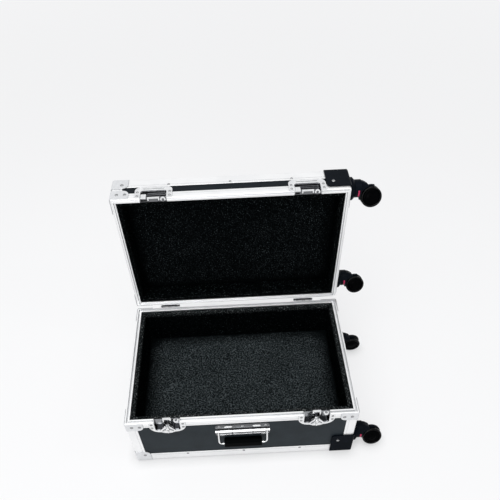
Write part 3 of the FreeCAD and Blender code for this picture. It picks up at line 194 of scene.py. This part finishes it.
class Finish:
    """A procedural material on object coordinates, built up a layer at a time."""

    def __init__(self, name, color, roughness, metallic=0.0, specular=0.5):
        self.material = bpy.data.materials.new(name)
        self.material.use_nodes = True
        self.nodes = self.material.node_tree.nodes
        self.links = self.material.node_tree.links
        self.shader = self.nodes["Principled BSDF"]
        self.shader.inputs["Base Color"].default_value = (*color, 1.0)
        self.shader.inputs["Roughness"].default_value = roughness
        self.shader.inputs["Metallic"].default_value = metallic
        self.shader.inputs["Specular IOR Level"].default_value = specular
        self.coordinates = self.nodes.new("ShaderNodeTexCoord").outputs["Object"]
        self.height = None

    def stretched(self, scale):
        """Object coordinates scaled by a different amount along each axis."""
        mapping = self.nodes.new("ShaderNodeMapping")
        mapping.inputs["Scale"].default_value = scale
        self.links.new(self.coordinates, mapping.inputs["Vector"])
        return mapping.outputs["Vector"]

    def axis(self, letter):
        """One of the object coordinates."""
        node = self.nodes.new("ShaderNodeSeparateXYZ")
        self.links.new(self.coordinates, node.inputs["Vector"])
        return node.outputs[letter]

    def away(self):
        """Distance from the origin."""
        node = self.nodes.new("ShaderNodeVectorMath")
        node.operation = "LENGTH"
        self.links.new(self.coordinates, node.inputs[0])
        return node.outputs["Value"]

    def noise(self, scale, detail=3.0, roughness=0.55, vector=None):
        node = self.nodes.new("ShaderNodeTexNoise")
        node.inputs["Scale"].default_value = scale
        node.inputs["Detail"].default_value = detail
        node.inputs["Roughness"].default_value = roughness
        self.links.new(vector or self.coordinates, node.inputs["Vector"])
        return node.outputs["Fac"]

    def cells(self, scale, feature="F1"):
        node = self.nodes.new("ShaderNodeTexVoronoi")
        node.feature = feature
        node.inputs["Scale"].default_value = scale
        self.links.new(self.coordinates, node.inputs["Vector"])
        return node.outputs["Distance"]

    def crevice(self, distance):
        """One on open faces, falling to zero in corners and narrow gaps."""
        node = self.nodes.new("ShaderNodeAmbientOcclusion")
        node.samples = CREVICE_SAMPLES
        node.inputs["Distance"].default_value = distance
        return node.outputs["AO"]

    def spread(self, value, low, high, to_low, to_high):
        """A value mapped from one range to another and held inside it."""
        node = self.nodes.new("ShaderNodeMapRange")
        node.inputs["From Min"].default_value = low
        node.inputs["From Max"].default_value = high
        node.inputs["To Min"].default_value = to_low
        node.inputs["To Max"].default_value = to_high
        self.links.new(value, node.inputs["Value"])
        return node.outputs["Result"]

    def combined(self, operation, first, second):
        node = self.nodes.new("ShaderNodeMath")
        node.operation = operation
        self.links.new(first, node.inputs[0])
        self.links.new(second, node.inputs[1])
        return node.outputs["Value"]

    def ramp(self, value, stops):
        """A colour from a ramp of (position, colour) stops."""
        node = self.nodes.new("ShaderNodeValToRGB")
        elements = node.color_ramp.elements
        while len(elements) < len(stops):
            elements.new(0.5)
        for element, (position, color) in zip(elements, stops):
            element.position = position
            element.color = (*color, 1.0)
        self.links.new(value, node.inputs["Fac"])
        return node.outputs["Color"]

    def between(self, letter, zero_at, one_at):
        """Zero on one side of a place along an axis, and one on the other."""
        return self.spread(self.axis(letter), zero_at, one_at, 0.0, 1.0)

    def band(self, letter, low, high):
        """One between two places along an axis, and zero outside them."""
        above = self.between(letter, low - BAND_EDGE, low)
        below = self.between(letter, high + BAND_EDGE, high)
        return self.combined("MINIMUM", above, below)

    def open_faces(self, reach, closed, opened):
        """Zero in corners and one on open faces, from how far they are closed in."""
        return self.spread(self.crevice(reach), closed, opened, 0.0, 1.0)

    def blend(self, factor, first, second):
        """The first colour where the factor is zero and the second where it is one.
        Each is plain or a socket."""
        node = self.nodes.new("ShaderNodeMix")
        node.data_type = "RGBA"
        self.links.new(factor, node.inputs["Factor"])
        for index, color in ((MIX_FIRST, first), (MIX_SECOND, second)):
            if isinstance(color, tuple):
                node.inputs[index].default_value = (*color, 1.0)
            else:
                self.links.new(color, node.inputs[index])
        return node.outputs[MIX_RESULT]

    def paint(self, color):
        self.links.new(color, self.shader.inputs["Base Color"])

    def roughness_by(self, value, low, high):
        self.links.new(self.spread(value, *NOISE_RANGE, low, high), self.shader.inputs["Roughness"])

    def bump(self, value, strength, distance):
        """Another layer of relief on top of the last one."""
        node = self.nodes.new("ShaderNodeBump")
        node.inputs["Strength"].default_value = strength
        node.inputs["Distance"].default_value = distance
        self.links.new(value, node.inputs["Height"])
        if self.height is not None:
            self.links.new(self.height, node.inputs["Normal"])
        self.height = node.outputs["Normal"]
        self.links.new(self.height, self.shader.inputs["Normal"])


def laminate(name, shade):
    """Charcoal laminate with a fine pebbled grain and faint cloudiness."""
    finish = Finish(name, tuple(0.022 * part for part in shade), 0.46, 0.0, 0.06)
    cloud = finish.noise(26.0, 4.0)
    finish.paint(finish.ramp(cloud, [(0.3, tuple(0.017 * part for part in shade)),
                                     (0.7, tuple(0.023 * part for part in shade))]))
    grain = finish.noise(950.0, 2.0)
    finish.roughness_by(grain, 0.4, 0.54)
    finish.bump(grain, 0.25, 0.0004)
    return finish.material


# Painted shade in the corners of metal: its tone, and how far closed in and open the corners are at its ends
CORNER_PAINTED_SHADE = (0.008, 0.009, 0.011)
CORNER_SHADE_RANGE = (0.35, 0.85)
CORNER_SHADE_REACH = 0.0032


def drawn_aluminium():
    """Satin extrusion with faint smudges, fine grain and painted shade in its grooves and corners."""
    finish = Finish("drawn_aluminium", (0.9, 0.905, 0.91), 0.38, 0.72)
    smudge = finish.noise(18.0, 4.0)
    metal = finish.ramp(smudge, [(0.3, (0.87, 0.875, 0.88)), (0.7, (0.94, 0.942, 0.945))])
    groove_shade = finish.open_faces(0.005, 0.3, 0.88)
    # painted shade: the rail is darkened where ambient occlusion finds grooves and contact lines
    finish.paint(finish.blend(groove_shade, (0.36, 0.37, 0.385), metal))
    grain = finish.noise(700.0, 2.0)
    finish.roughness_by(finish.combined("MULTIPLY", smudge, grain), 0.3, 0.44)
    finish.bump(grain, 0.12, 0.0002)
    return finish.material


def zinc_plate():
    """Zinc plated pressed steel with a soft spangle and painted shade along its edges and corners."""
    finish = Finish("zinc_plate", (0.76, 0.77, 0.785), 0.36, 0.8)
    spangle = finish.cells(120.0)
    metal = finish.ramp(spangle, [(0.0, (0.8, 0.81, 0.825)), (0.6, (0.72, 0.73, 0.745))])
    edge = finish.open_faces(0.0035, *CORNER_SHADE_RANGE)
    # painted shade where the plate meets other parts and in its corners
    finish.paint(finish.blend(edge, (0.08, 0.083, 0.09), metal))
    grain = finish.noise(420.0, 3.0)
    finish.roughness_by(grain, 0.3, 0.42)
    finish.bump(grain, 0.15, 0.0003)
    return finish.material


def bright_metal(name, tray=None, shade=CORNER_SHADE_REACH):
    """Bright chrome on pressed steel, slightly uneven, with painted shade in its corners. A tray says where it is
    bright, and the tones of the painted shade on its walls and on its floor further in. shade is how far its
    painted corner shade reaches."""
    finish = Finish(name, (0.78, 0.79, 0.8), 0.16, 1.0)
    haze = finish.noise(90.0, 4.0)
    metal = finish.ramp(haze, [(0.3, (0.74, 0.75, 0.76)), (0.7, (0.92, 0.925, 0.93))])
    if tray:
        above_floor = finish.between(*tray["above_floor"])
        rim = finish.combined("MINIMUM", finish.between(*tray["rim"]), above_floor)
        light = finish.combined("MAXIMUM", finish.between(*tray["outside"]), rim)
        # inside a tray the chrome is painted as light and shade: dark walls and lighter floor tones further in
        inside = tray["wall_shade_tone"]
        for place, tone in tray["inwards"]:
            inside = finish.blend(finish.between(*place), inside, tone)
        metal = finish.blend(light, inside, metal)
    # painted shade in corners and narrow gaps
    open_face = finish.open_faces(shade, *CORNER_SHADE_RANGE)
    finish.paint(finish.blend(open_face, CORNER_PAINTED_SHADE, metal))
    finish.roughness_by(haze, 0.11, 0.22)
    finish.bump(haze, 0.06, 0.0005)
    return finish.material


# Handle plate: an axis and the places along it where each part starts and is complete, for its painted highlights
# and painted shade
PLATE_BARREL = ("Z", 0.1404, 0.1400)
PLATE_SWELLING_HIGHLIGHTS = ("Y", -0.1801, -0.1804)
PLATE_EDGE_HIGHLIGHTS = ("Y", -0.1798, -0.1794)
PLATE_LIP = ("Z", 0.1156, 0.1152)
PLATE_SHADE = ("Z", 0.1153, 0.1338)
SEAM_OFFSET = 0.02496
SEAM_REACH = 0.0007


def pressed_plate():
    """Handle plate: darker on the flat, bright on the barrel and lip, with painted highlights on its edges and
    swellings.
    Painted shade lies on the underside of the barrel and the plate in its shade, and the seams between its lengths
    are dark."""
    finish = Finish("pressed_plate", (0.4, 0.41, 0.42), 0.24, 1.0)
    haze = finish.noise(70.0, 4.0)
    metal = finish.ramp(haze, [(0.3, (0.8, 0.81, 0.82)), (0.7, (0.9, 0.905, 0.91))])
    # painted highlights on the barrel, swellings and edges; the flat above the barrel is darker
    barrel = finish.between(*PLATE_BARREL)
    light = finish.combined("MAXIMUM", barrel, finish.between(*PLATE_SWELLING_HIGHLIGHTS))
    light = finish.combined("MAXIMUM", light, finish.between(*PLATE_EDGE_HIGHLIGHTS))
    metal = finish.blend(light, (0.1, 0.104, 0.11), metal)
    # painted shade under the barrel; the seams between its lengths are dark joints
    dark = finish.band(*PLATE_SHADE)
    for side in (-1.0, 1.0):
        seam = finish.band("X", side * SEAM_OFFSET - SEAM_REACH, side * SEAM_OFFSET + SEAM_REACH)
        dark = finish.combined("MAXIMUM", dark, finish.combined("MINIMUM", seam, barrel))
    metal = finish.blend(dark, metal, (0.02, 0.021, 0.024))
    # painted shade in corners, kept off the lip
    open_face = finish.open_faces(CORNER_SHADE_REACH, *CORNER_SHADE_RANGE)
    open_face = finish.combined("MAXIMUM", open_face, finish.between(*PLATE_LIP))
    finish.paint(finish.blend(open_face, CORNER_PAINTED_SHADE, metal))
    finish.roughness_by(haze, 0.16, 0.3)
    finish.bump(haze, 0.06, 0.0005)
    return finish.material


def rivet_metal():
    """Rivet heads with a crown painted darker than the rails for the shade on it, and painted shade round their
    rims.
    """
    finish = Finish("rivet_metal", (0.5, 0.51, 0.52), 0.26, 1.0)
    haze = finish.noise(300.0, 3.0)
    metal = finish.ramp(haze, [(0.3, (0.24, 0.245, 0.25)), (0.7, (0.42, 0.425, 0.43))])
    # painted shade where the head meets its seat
    seat = finish.open_faces(0.0035, 0.5, 0.9)
    finish.paint(finish.blend(seat, (0.015, 0.015, 0.017), metal))
    finish.roughness_by(haze, 0.2, 0.34)
    return finish.material


def plain_steel():
    finish = Finish("plain_steel", (0.58, 0.59, 0.6), 0.3, 1.0)
    haze = finish.noise(260.0, 3.0)
    finish.paint(finish.ramp(haze, [(0.3, (0.5, 0.51, 0.52)), (0.7, (0.64, 0.65, 0.66))]))
    finish.roughness_by(haze, 0.22, 0.42)
    return finish.material


# Where the painted shadow line along the hinge barrels starts and ends
HINGE_SHADOW_LINE = ("Y", 0.1821, 0.1848)


def hinge_metal():
    """Hinges: bright leaves and barrels with a painted shadow line along the barrels."""
    finish = Finish("hinge_metal", (0.7, 0.71, 0.72), 0.3, 1.0)
    haze = finish.noise(240.0, 4.0)
    metal = finish.ramp(haze, [(0.3, (0.72, 0.73, 0.74)), (0.72, (0.86, 0.865, 0.87))])
    finish.paint(finish.blend(finish.band(*HINGE_SHADOW_LINE), metal, (0.012, 0.012, 0.013)))
    finish.roughness_by(haze, 0.26, 0.45)
    return finish.material


def black_nylon(name, gloss):
    """Satin black moulding with a fine spark-eroded texture."""
    finish = Finish(name, (0.0035, 0.0052, 0.0082), 0.4, 0.0, gloss)
    cloud = finish.noise(40.0, 3.0)
    finish.paint(finish.ramp(cloud, [(0.3, (0.0028, 0.0044, 0.007)), (0.7, (0.0042, 0.006, 0.0094))]))
    grain = finish.noise(1500.0, 2.0)
    finish.roughness_by(grain, 0.28, 0.42)
    finish.bump(grain, 0.2, 0.0003)
    return finish.material


def wheel_polyurethane(name, gloss):
    """Black wheel moulding with faint scuffs, more or less glossy."""
    finish = Finish(name, (0.0008, 0.0009, 0.0011), 0.1, 0.0, gloss)
    scuff = finish.noise(160.0, 5.0, 0.65)
    black = finish.ramp(scuff, [(0.35, (0.0005, 0.0006, 0.0008)), (0.75, (0.0014, 0.0016, 0.0019))])
    finish.paint(black)
    finish.roughness_by(scuff, 0.07, 0.16)
    return finish.material


def grip_rubber():
    finish = Finish("grip_rubber", (0.0006, 0.001, 0.0011), 0.5, 0.0, 0.012)
    grain = finish.noise(800.0, 3.0)
    finish.paint(finish.ramp(grain, [(0.3, (0.0004, 0.0007, 0.0008)), (0.7, (0.0009, 0.0013, 0.0014))]))
    finish.roughness_by(grain, 0.4, 0.55)
    finish.bump(grain, 0.35, 0.0005)
    return finish.material


def lining_foam(name, cell_size, stops, rim=None, rim_stops=None, deep=0.0):
    """Charcoal lining foam: open cells with scattered pale flecks. The stops run from the cells to the
    flecks. rim is where a cut edge catches more light, with its own stops, and deep is how far the shade
    of the walls reaches."""
    finish = Finish(name, stops[1][1], 0.95, 0.0, 0.0)
    fleck = finish.noise(1.0 / cell_size, 2.0, 0.6)
    drift = finish.spread(finish.noise(11.0, 3.0), 0.35, 0.65, -0.014, 0.014)
    fleck = finish.combined("ADD", fleck, drift)
    color = finish.ramp(fleck, stops)
    if rim:
        color = finish.blend(finish.between(*rim), color, finish.ramp(fleck, rim_stops))
    if deep:
        color = finish.blend(finish.open_faces(deep, 0.5, 0.95), stops[0][1], color)
    finish.paint(color)
    cell = finish.cells(420.0)
    finish.bump(cell, 0.7, 0.0012)
    finish.bump(fleck, 0.8, 0.0016)
    return finish.material


def birch_plywood():
    finish = Finish("birch_plywood", (0.42, 0.30, 0.18), 0.62)
    grain = finish.noise(9.0, 6.0, 0.6, finish.stretched((1.0, 22.0, 22.0)))
    finish.paint(finish.ramp(grain, [(0.3, (0.36, 0.25, 0.145)), (0.7, (0.5, 0.37, 0.23))]))
    finish.bump(grain, 0.2, 0.0004)
    return finish.material


def signal_red():
    finish = Finish("signal_red", (0.42, 0.012, 0.075), 0.36, 0.0, 0.3)
    cloud = finish.noise(300.0, 2.0)
    finish.paint(finish.ramp(cloud, [(0.3, (0.36, 0.01, 0.06)), (0.7, (0.5, 0.016, 0.09))]))
    return finish.material


# Foam tones, from the cells to the flecks. The one foam is painted as lit and shaded copies: darker on the walls,
# a little paler on the lid's top board, paler on the floor and on the cut rims of the walls
SHADED_WALL_FLECKS = (
    (0.5, (0.0007, 0.0012, 0.0013)), (0.62, (0.0022, 0.0031, 0.0034)), (0.74, (0.036, 0.045, 0.048)),
)
LID_FLECKS = (
    (0.43, (0.001, 0.0015, 0.0017)), (0.59, (0.0036, 0.0048, 0.0052)), (0.73, (0.047, 0.057, 0.061)),
)
LIT_FLOOR_FLECKS = (
    (0.36, (0.0025, 0.0036, 0.004)), (0.51, (0.019, 0.0245, 0.0265)), (0.66, (0.085, 0.1, 0.106)),
)
LIT_RIM_FLECKS = (
    (0.4, (0.002, 0.0028, 0.003)), (0.56, (0.02, 0.0235, 0.0245)), (0.7, (0.13, 0.138, 0.14)),
)
LID_LIT_RIM_FLECKS = (
    (0.48, (0.0007, 0.001, 0.0011)), (0.62, (0.007, 0.0088, 0.0092)), (0.74, (0.06, 0.066, 0.068)),
)
FLECK_SIZE = 0.0036
LID_FLECK_SIZE = 0.003
BASE_FOAM_LIT_RIM = ("Z", 0.170, 0.179)
LID_FOAM_LIT_RIM = ("Y", 0.2026, 0.1936)
FLOOR_SHADE_REACH = 0.05
LID_SHADE_REACH = 0.03

# Tints of the laminate, with a darker copy on the lid's front painted as shade, and gloss of the black mouldings
LAMINATE_TINT = (0.9, 1.2, 1.44)
LID_LAMINATE_SHADE_TINT = (0.4, 0.55, 0.7)
NYLON_GLOSS = 0.03
DULL_NYLON_GLOSS = 0.008
DISC_GLOSS = 0.012
TYRE_GLOSS = 0.1

FINISHES = {
    "laminate": laminate("charcoal_laminate", LAMINATE_TINT),
    "plywood": birch_plywood(),
    "rail_aluminium": drawn_aluminium(),
    "plated_steel": zinc_plate(),
    "bright_plate": bright_metal("bright_plate"),
    "rivet_steel": rivet_metal(),
    "black_plastic": black_nylon("black_nylon", NYLON_GLOSS),
    "wheel_rubber": wheel_polyurethane("wheel_disc", DISC_GLOSS),
    "grip_rubber": grip_rubber(),
    "foam": lining_foam("base_wall_foam", FLECK_SIZE, SHADED_WALL_FLECKS, BASE_FOAM_LIT_RIM, LIT_RIM_FLECKS),
    "steel": plain_steel(),
}
FLOOR_FOAM = lining_foam("floor_foam", FLECK_SIZE, LIT_FLOOR_FLECKS, deep=FLOOR_SHADE_REACH)
LID_FOAM = lining_foam("lid_foam", LID_FLECK_SIZE, LID_FLECKS, deep=LID_SHADE_REACH)
LID_WALL_FOAM = lining_foam("lid_wall_foam", FLECK_SIZE, SHADED_WALL_FLECKS, LID_FOAM_LIT_RIM, LID_LIT_RIM_FLECKS)
RED = signal_red()
TYRE = wheel_polyurethane("wheel_tyre", TYRE_GLOSS)

# Finishes of single nodes where one slot looks different in different places, most of them by painted light and
# shade. A tray gives the places where the bright outside, the rim and the space above its floor start and are
# complete, and the tones painted inside it as shade.
HINGE_METAL = hinge_metal()
KEEPER_CORNER_SHADE_REACH = 0.0048
# Inside the dish the chrome is painted as shade: dark walls and a lighter floor
DISH_TRAY = {
    "outside": ("Y", -0.178, -0.1785),
    "rim": ("Z", 0.183, 0.1834),
    "above_floor": ("Y", -0.1712, -0.1717),
    "wall_shade_tone": (0.05, 0.052, 0.056),
    "inwards": [(("Y", -0.1717, -0.1712), (0.26, 0.268, 0.28))],
}
# Inside the keeper the chrome is painted as light and shade: dark walls, a lit band further in and a darker floor
# beneath it
KEEPER_TRAY = {
    "outside": ("Z", 0.5493, 0.5498),
    "rim": ("Y", 0.1933, 0.1929),
    "above_floor": ("Z", 0.5431, 0.5435),
    "wall_shade_tone": (0.012, 0.013, 0.015),
    "inwards": [(("Z", 0.5458, 0.545), (0.7, 0.71, 0.73)),
                (("Z", 0.5435, 0.5431), (0.17, 0.174, 0.182))],
}
NODE_FINISHES = {
    "hinge_base_leaves": HINGE_METAL,
    "hinge_lid_leaves": HINGE_METAL,
    "hinge_pins": HINGE_METAL,
    "handle_plate": pressed_plate(),
    "base_caster_corners": black_nylon("dull_nylon", DULL_NYLON_GLOSS),
    # a darker copy of the laminate, painted as shade on the lid's upturned front
    "lid_front_panel": laminate("shaded_lid_laminate", LID_LAMINATE_SHADE_TINT),
    "latch_dishes": bright_metal("dish_metal", DISH_TRAY),
    "latch_keepers": bright_metal("keeper_metal", KEEPER_TRAY, KEEPER_CORNER_SHADE_REACH),
}


def finish_nodes():
    """Every CAD node takes the finish of its slot in the record, or its own."""
    for entry in frame["record"]["subparts"]:
        data = NODES[entry["node"]].data
        data.materials.clear()
        data.materials.append(NODE_FINISHES.get(entry["node"], FINISHES[entry["material_slot"]]))


# Pieces

def add_piece(name, shape, material, body):
    """A finished bmesh as an object that rides on a body."""
    mesh = bpy.data.meshes.new(name)
    bmesh.ops.recalc_face_normals(shape, faces=shape.faces)
    shape.to_mesh(mesh)
    shape.free()
    mesh.materials.append(material)
    piece = bpy.data.objects.new(name, mesh)
    bpy.context.scene.collection.objects.link(piece)
    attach(piece, body)
    return piece


def smooth(piece):
    for face in piece.data.polygons:
        face.use_smooth = True


MERGE_DISTANCE = 0.000005


def spun(profile, steps):
    """A profile of (across, radius) points turned round the Y axis into a closed form."""
    shape = bmesh.new()
    ring = [shape.verts.new((0.0, across, radius)) for across, radius in profile]
    edges = [shape.edges.new(pair) for pair in zip(ring, ring[1:])]
    bmesh.ops.spin(shape, geom=ring + edges, cent=(0.0, 0.0, 0.0), axis=(0.0, 1.0, 0.0),
                   angle=math.tau, steps=steps, use_merge=True)
    bmesh.ops.remove_doubles(shape, verts=shape.verts, dist=MERGE_DISTANCE)
    bmesh.ops.recalc_face_normals(shape, faces=shape.faces)
    return shape


def add_copy(shape, form, place):
    """A copy of a form, put in its place, joins a shape."""
    mesh = bpy.data.meshes.new("copy")
    form.to_mesh(mesh)
    mesh.transform(place)
    shape.from_mesh(mesh)
    bpy.data.meshes.remove(mesh)


# Lining

FOAM_VOXEL = 0.0026
FOAM_ROUND = 0.0025
FOAM_ROUND_STEPS = 3
FOAM_THICKNESS = 0.010
WALL_RELIEF = (0.0011, 0.006)
FLOOR_RELIEF = (0.0034, 0.016)
SKIN_DEPTH = 2
SKIN_LEVEL = 0.6
STILL = Vector((0.0, 0.0, 0.0))
FLOOR_PRESS = Vector((0.0016, 0.0016, 0.0))
RIM_REACH = 0.0036


def foam_shape(low, high):
    """A foam board between two corners with softened edges."""
    shape = bmesh.new()
    bmesh.ops.create_cube(shape, size=1.0)
    bmesh.ops.scale(shape, vec=high - low, verts=shape.verts)
    bmesh.ops.translate(shape, vec=(low + high) / 2, verts=shape.verts)
    bmesh.ops.bevel(shape, geom=shape.edges[:], offset=FOAM_ROUND, segments=FOAM_ROUND_STEPS,
                    profile=0.5, affect="EDGES", material=-1)
    return shape


def roughen(piece, relief):
    """Fine even faces and the uneven skin of cut foam, with the height and size of its swells."""
    height, size = relief
    voxels = piece.modifiers.new("even_faces", "REMESH")
    voxels.mode = "VOXEL"
    voxels.voxel_size = FOAM_VOXEL
    texture = bpy.data.textures.new(piece.name + "_skin", "CLOUDS")
    texture.noise_scale = size
    texture.noise_depth = SKIN_DEPTH
    skin = piece.modifiers.new("skin", "DISPLACE")
    skin.texture = texture
    skin.texture_coords = "LOCAL"
    skin.strength = height
    skin.mid_level = SKIN_LEVEL


def lining_boards(node, body, boards, finish, relief, below=STILL, above=STILL):
    """Foam boards that together stand for one CAD node. below and above are how far each is grown at its
    low and high corner, to press on its neighbours or to come up to the rim."""
    for name, low, high in boards:
        shape = foam_shape(low - below, high + above)
        piece = add_piece(name, shape, finish, body)
        roughen(piece, relief)
        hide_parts(node)


def wall_boards(node, names, across):
    """Corners of four boards round a frame: the long ones run the whole way, the others stand between.
    across is the axis, 1 or 2, that the frame spans beside X."""
    low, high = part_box(node)
    inset = STILL.copy()
    inset[across] = FOAM_THICKNESS
    first_high = high.copy()
    first_high[across] = low[across] + FOAM_THICKNESS
    second_low = low.copy()
    second_low[across] = high[across] - FOAM_THICKNESS
    left_low = low + inset
    left_high = high - inset
    left_high.x = low.x + FOAM_THICKNESS
    right_low = low + inset
    right_low.x = high.x - FOAM_THICKNESS
    right_high = high - inset
    corners = ((low, first_high), (second_low, high), (left_low, left_high), (right_low, right_high))
    return [(name, *pair) for name, pair in zip(names, corners)]


BASE_BOARDS = ("foam_base_front", "foam_base_back", "foam_base_left", "foam_base_right")
LID_BOARDS = ("foam_lid_back", "foam_lid_front", "foam_lid_left", "foam_lid_right")


def line_case():
    """Wall boards up to the rims, a floor board pressed between them and a board in the lid."""
    base_walls = wall_boards("base_wall_foam", BASE_BOARDS, 1)
    lining_boards("base_wall_foam", "base", base_walls, FINISHES["foam"], WALL_RELIEF,
                  above=Vector((0.0, 0.0, RIM_REACH)))
    lid_walls = wall_boards("lid_wall_foam", LID_BOARDS, 2)
    lining_boards("lid_wall_foam", "lid", lid_walls, LID_WALL_FOAM, WALL_RELIEF,
                  below=Vector((0.0, RIM_REACH, 0.0)))
    floor_board = [("foam_floor", *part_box("floor_foam"))]
    lining_boards("floor_foam", "base", floor_board, FLOOR_FOAM, FLOOR_RELIEF, FLOOR_PRESS, FLOOR_PRESS)
    top_board = [("foam_lid_top", *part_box("lid_top_foam"))]
    lining_boards("lid_top_foam", "lid", top_board, LID_FOAM, WALL_RELIEF)


# Casters

# Wheel outlines as (across, radius) from the middle of the axle
WHEEL_RADIUS = 0.025
WHEEL_INNER = 0.0028
WHEEL_OUTER = 0.0110
TYRE_PROFILE = (
    (WHEEL_INNER, 0.0200), (WHEEL_INNER, 0.0215), (0.0031, 0.0229), (0.0038, 0.0242), (0.0048, 0.02488),
    (0.0060, WHEEL_RADIUS), (0.0078, WHEEL_RADIUS), (0.0090, 0.02488), (0.0100, 0.0242), (0.0107, 0.0229),
    (WHEEL_OUTER, 0.0218), (0.0107, 0.0211), (0.0100, 0.0207), (0.0096, 0.0200), (WHEEL_INNER, 0.0200),
)
DISC_PROFILE = (
    (WHEEL_INNER, 0.0031), (WHEEL_INNER, 0.0202), (0.0096, 0.0202), (0.0094, 0.0140), (0.0096, 0.0096),
    (0.0102, 0.0086), (0.0105, 0.0076), (0.0106, 0.0040), (0.0107, 0.0), (0.0088, 0.0), (0.0088, 0.0031),
    (WHEEL_INNER, 0.0031),
)
WHEEL_STEPS = 72
WHEEL_PARTS = (("tyres", TYRE_PROFILE, TYRE), ("discs", DISC_PROFILE, FINISHES["wheel_rubber"]))


def dress_wheels():
    """Twin wheels: rounded glossy tyres round dished discs with capped hubs."""
    other_side = Matrix.Rotation(math.pi, 4, "X")
    for part, profile, finish in WHEEL_PARTS:
        form = spun(profile, WHEEL_STEPS)
        for name in CASTERS:
            spin = joint("wheel_spin_" + name)
            turn = Vector((0.0, 1.0, 0.0)).rotation_difference(Vector(spin["axis"])).to_matrix().to_4x4()
            place = Matrix.Translation(Vector(spin["pos_m"])) @ turn
            shape = bmesh.new()
            add_copy(shape, form, place)
            add_copy(shape, form, place @ other_side)
            wheels = "caster_wheels_" + name
            piece = add_piece("caster_" + part + "_" + name, shape, finish, wheels)
            smooth(piece)
            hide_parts(wheels)
        form.free()


MARK_INNER = 0.0204
MARK_OUTER = 0.0214
MARK_START = 0.0072
MARK_END = 0.0108
MARK_SWEEP = math.radians(46.0)
MARK_STEPS = 12


def mark_casters():
    """A plain red inlay on the front of each caster's neck."""
    for name in CASTERS:
        centre = Vector(joint("caster_swivel_" + name)["pos_m"])
        axle = joint("wheel_spin_" + name)["axis"]
        top = math.atan2(-axle[2], axle[1])
        shape = bmesh.new()
        corners = [shape.verts.new(centre + Vector((x, -radius, 0.0)))
                   for x, radius in ((MARK_START, MARK_INNER), (MARK_END, MARK_INNER),
                                     (MARK_END, MARK_OUTER), (MARK_START, MARK_OUTER))]
        face = shape.faces.new(corners)
        bmesh.ops.rotate(shape, cent=centre, matrix=Matrix.Rotation(-top, 3, "X"), verts=shape.verts)
        bmesh.ops.spin(shape, geom=[face, *face.edges, *face.verts], cent=centre, axis=(1.0, 0.0, 0.0),
                       angle=MARK_SWEEP, steps=MARK_STEPS, use_merge=False)
        add_piece("caster_mark_" + name, shape, RED, "caster_" + name)


# Rivets

RIVET_STEPS = 20
RIVET_RISE = 0.0014
RIVET_MERGE = 0.000002
RIVET_SHARES = ((0.0, 0.0), (0.0, 1.0), (0.22, 1.0), (0.5, 0.88), (0.78, 0.62), (0.95, 0.3), (1.0, 0.0))


def islands(shape):
    """Groups of vertices that are joined by edges."""
    left = set(shape.verts)
    groups = []
    while left:
        group = {left.pop()}
        front = list(group)
        while front:
            for edge in front.pop().link_edges:
                for vert in edge.verts:
                    if vert in left:
                        left.discard(vert)
                        group.add(vert)
                        front.append(vert)
        groups.append(group)
    return groups


def rivet_seats(node):
    """Middle, outward direction and radius of each rivet of a node, from its widest flat face."""
    source = bmesh.new()
    source.from_mesh(NODES[node].data)
    bmesh.ops.remove_doubles(source, verts=source.verts, dist=RIVET_MERGE)
    seats = []
    for group in islands(source):
        areas = {}
        for face in {face for vert in group for face in vert.link_faces}:
            key = tuple(round(part, 2) for part in face.normal)
            areas.setdefault(key, []).append(face)
        seat = max(areas.values(), key=lambda faces: sum(face.calc_area() for face in faces))
        rim = {vert for face in seat for vert in face.verts}
        middle = sum((vert.co for vert in rim), Vector()) / len(rim)
        radius = max((vert.co - middle).length for vert in rim)
        seats.append((middle, -seat[0].normal, radius))
    source.free()
    return seats


def dress_rivets():
    """Smooth domed heads on the seats of the CAD rivets."""
    for body in ("base", "lid"):
        node = body + "_rivets"
        shape = bmesh.new()
        for middle, outwards, radius in rivet_seats(node):
            outline = [(rise * RIVET_RISE, share * radius) for rise, share in RIVET_SHARES]
            head = spun(outline, RIVET_STEPS)
            turn = Vector((0.0, 1.0, 0.0)).rotation_difference(outwards).to_matrix().to_4x4()
            add_copy(shape, head, Matrix.Translation(middle) @ turn)
            head.free()
        piece = add_piece(body + "_rivet_heads", shape, FINISHES["rivet_steel"], body)
        smooth(piece)
        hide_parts(node)


bpy.context.scene.view_settings.view_transform = "Standard"
aim_camera()
light_studio()
lay_floor()
finish_nodes()
line_case()
dress_wheels()
mark_casters()
dress_rivets()
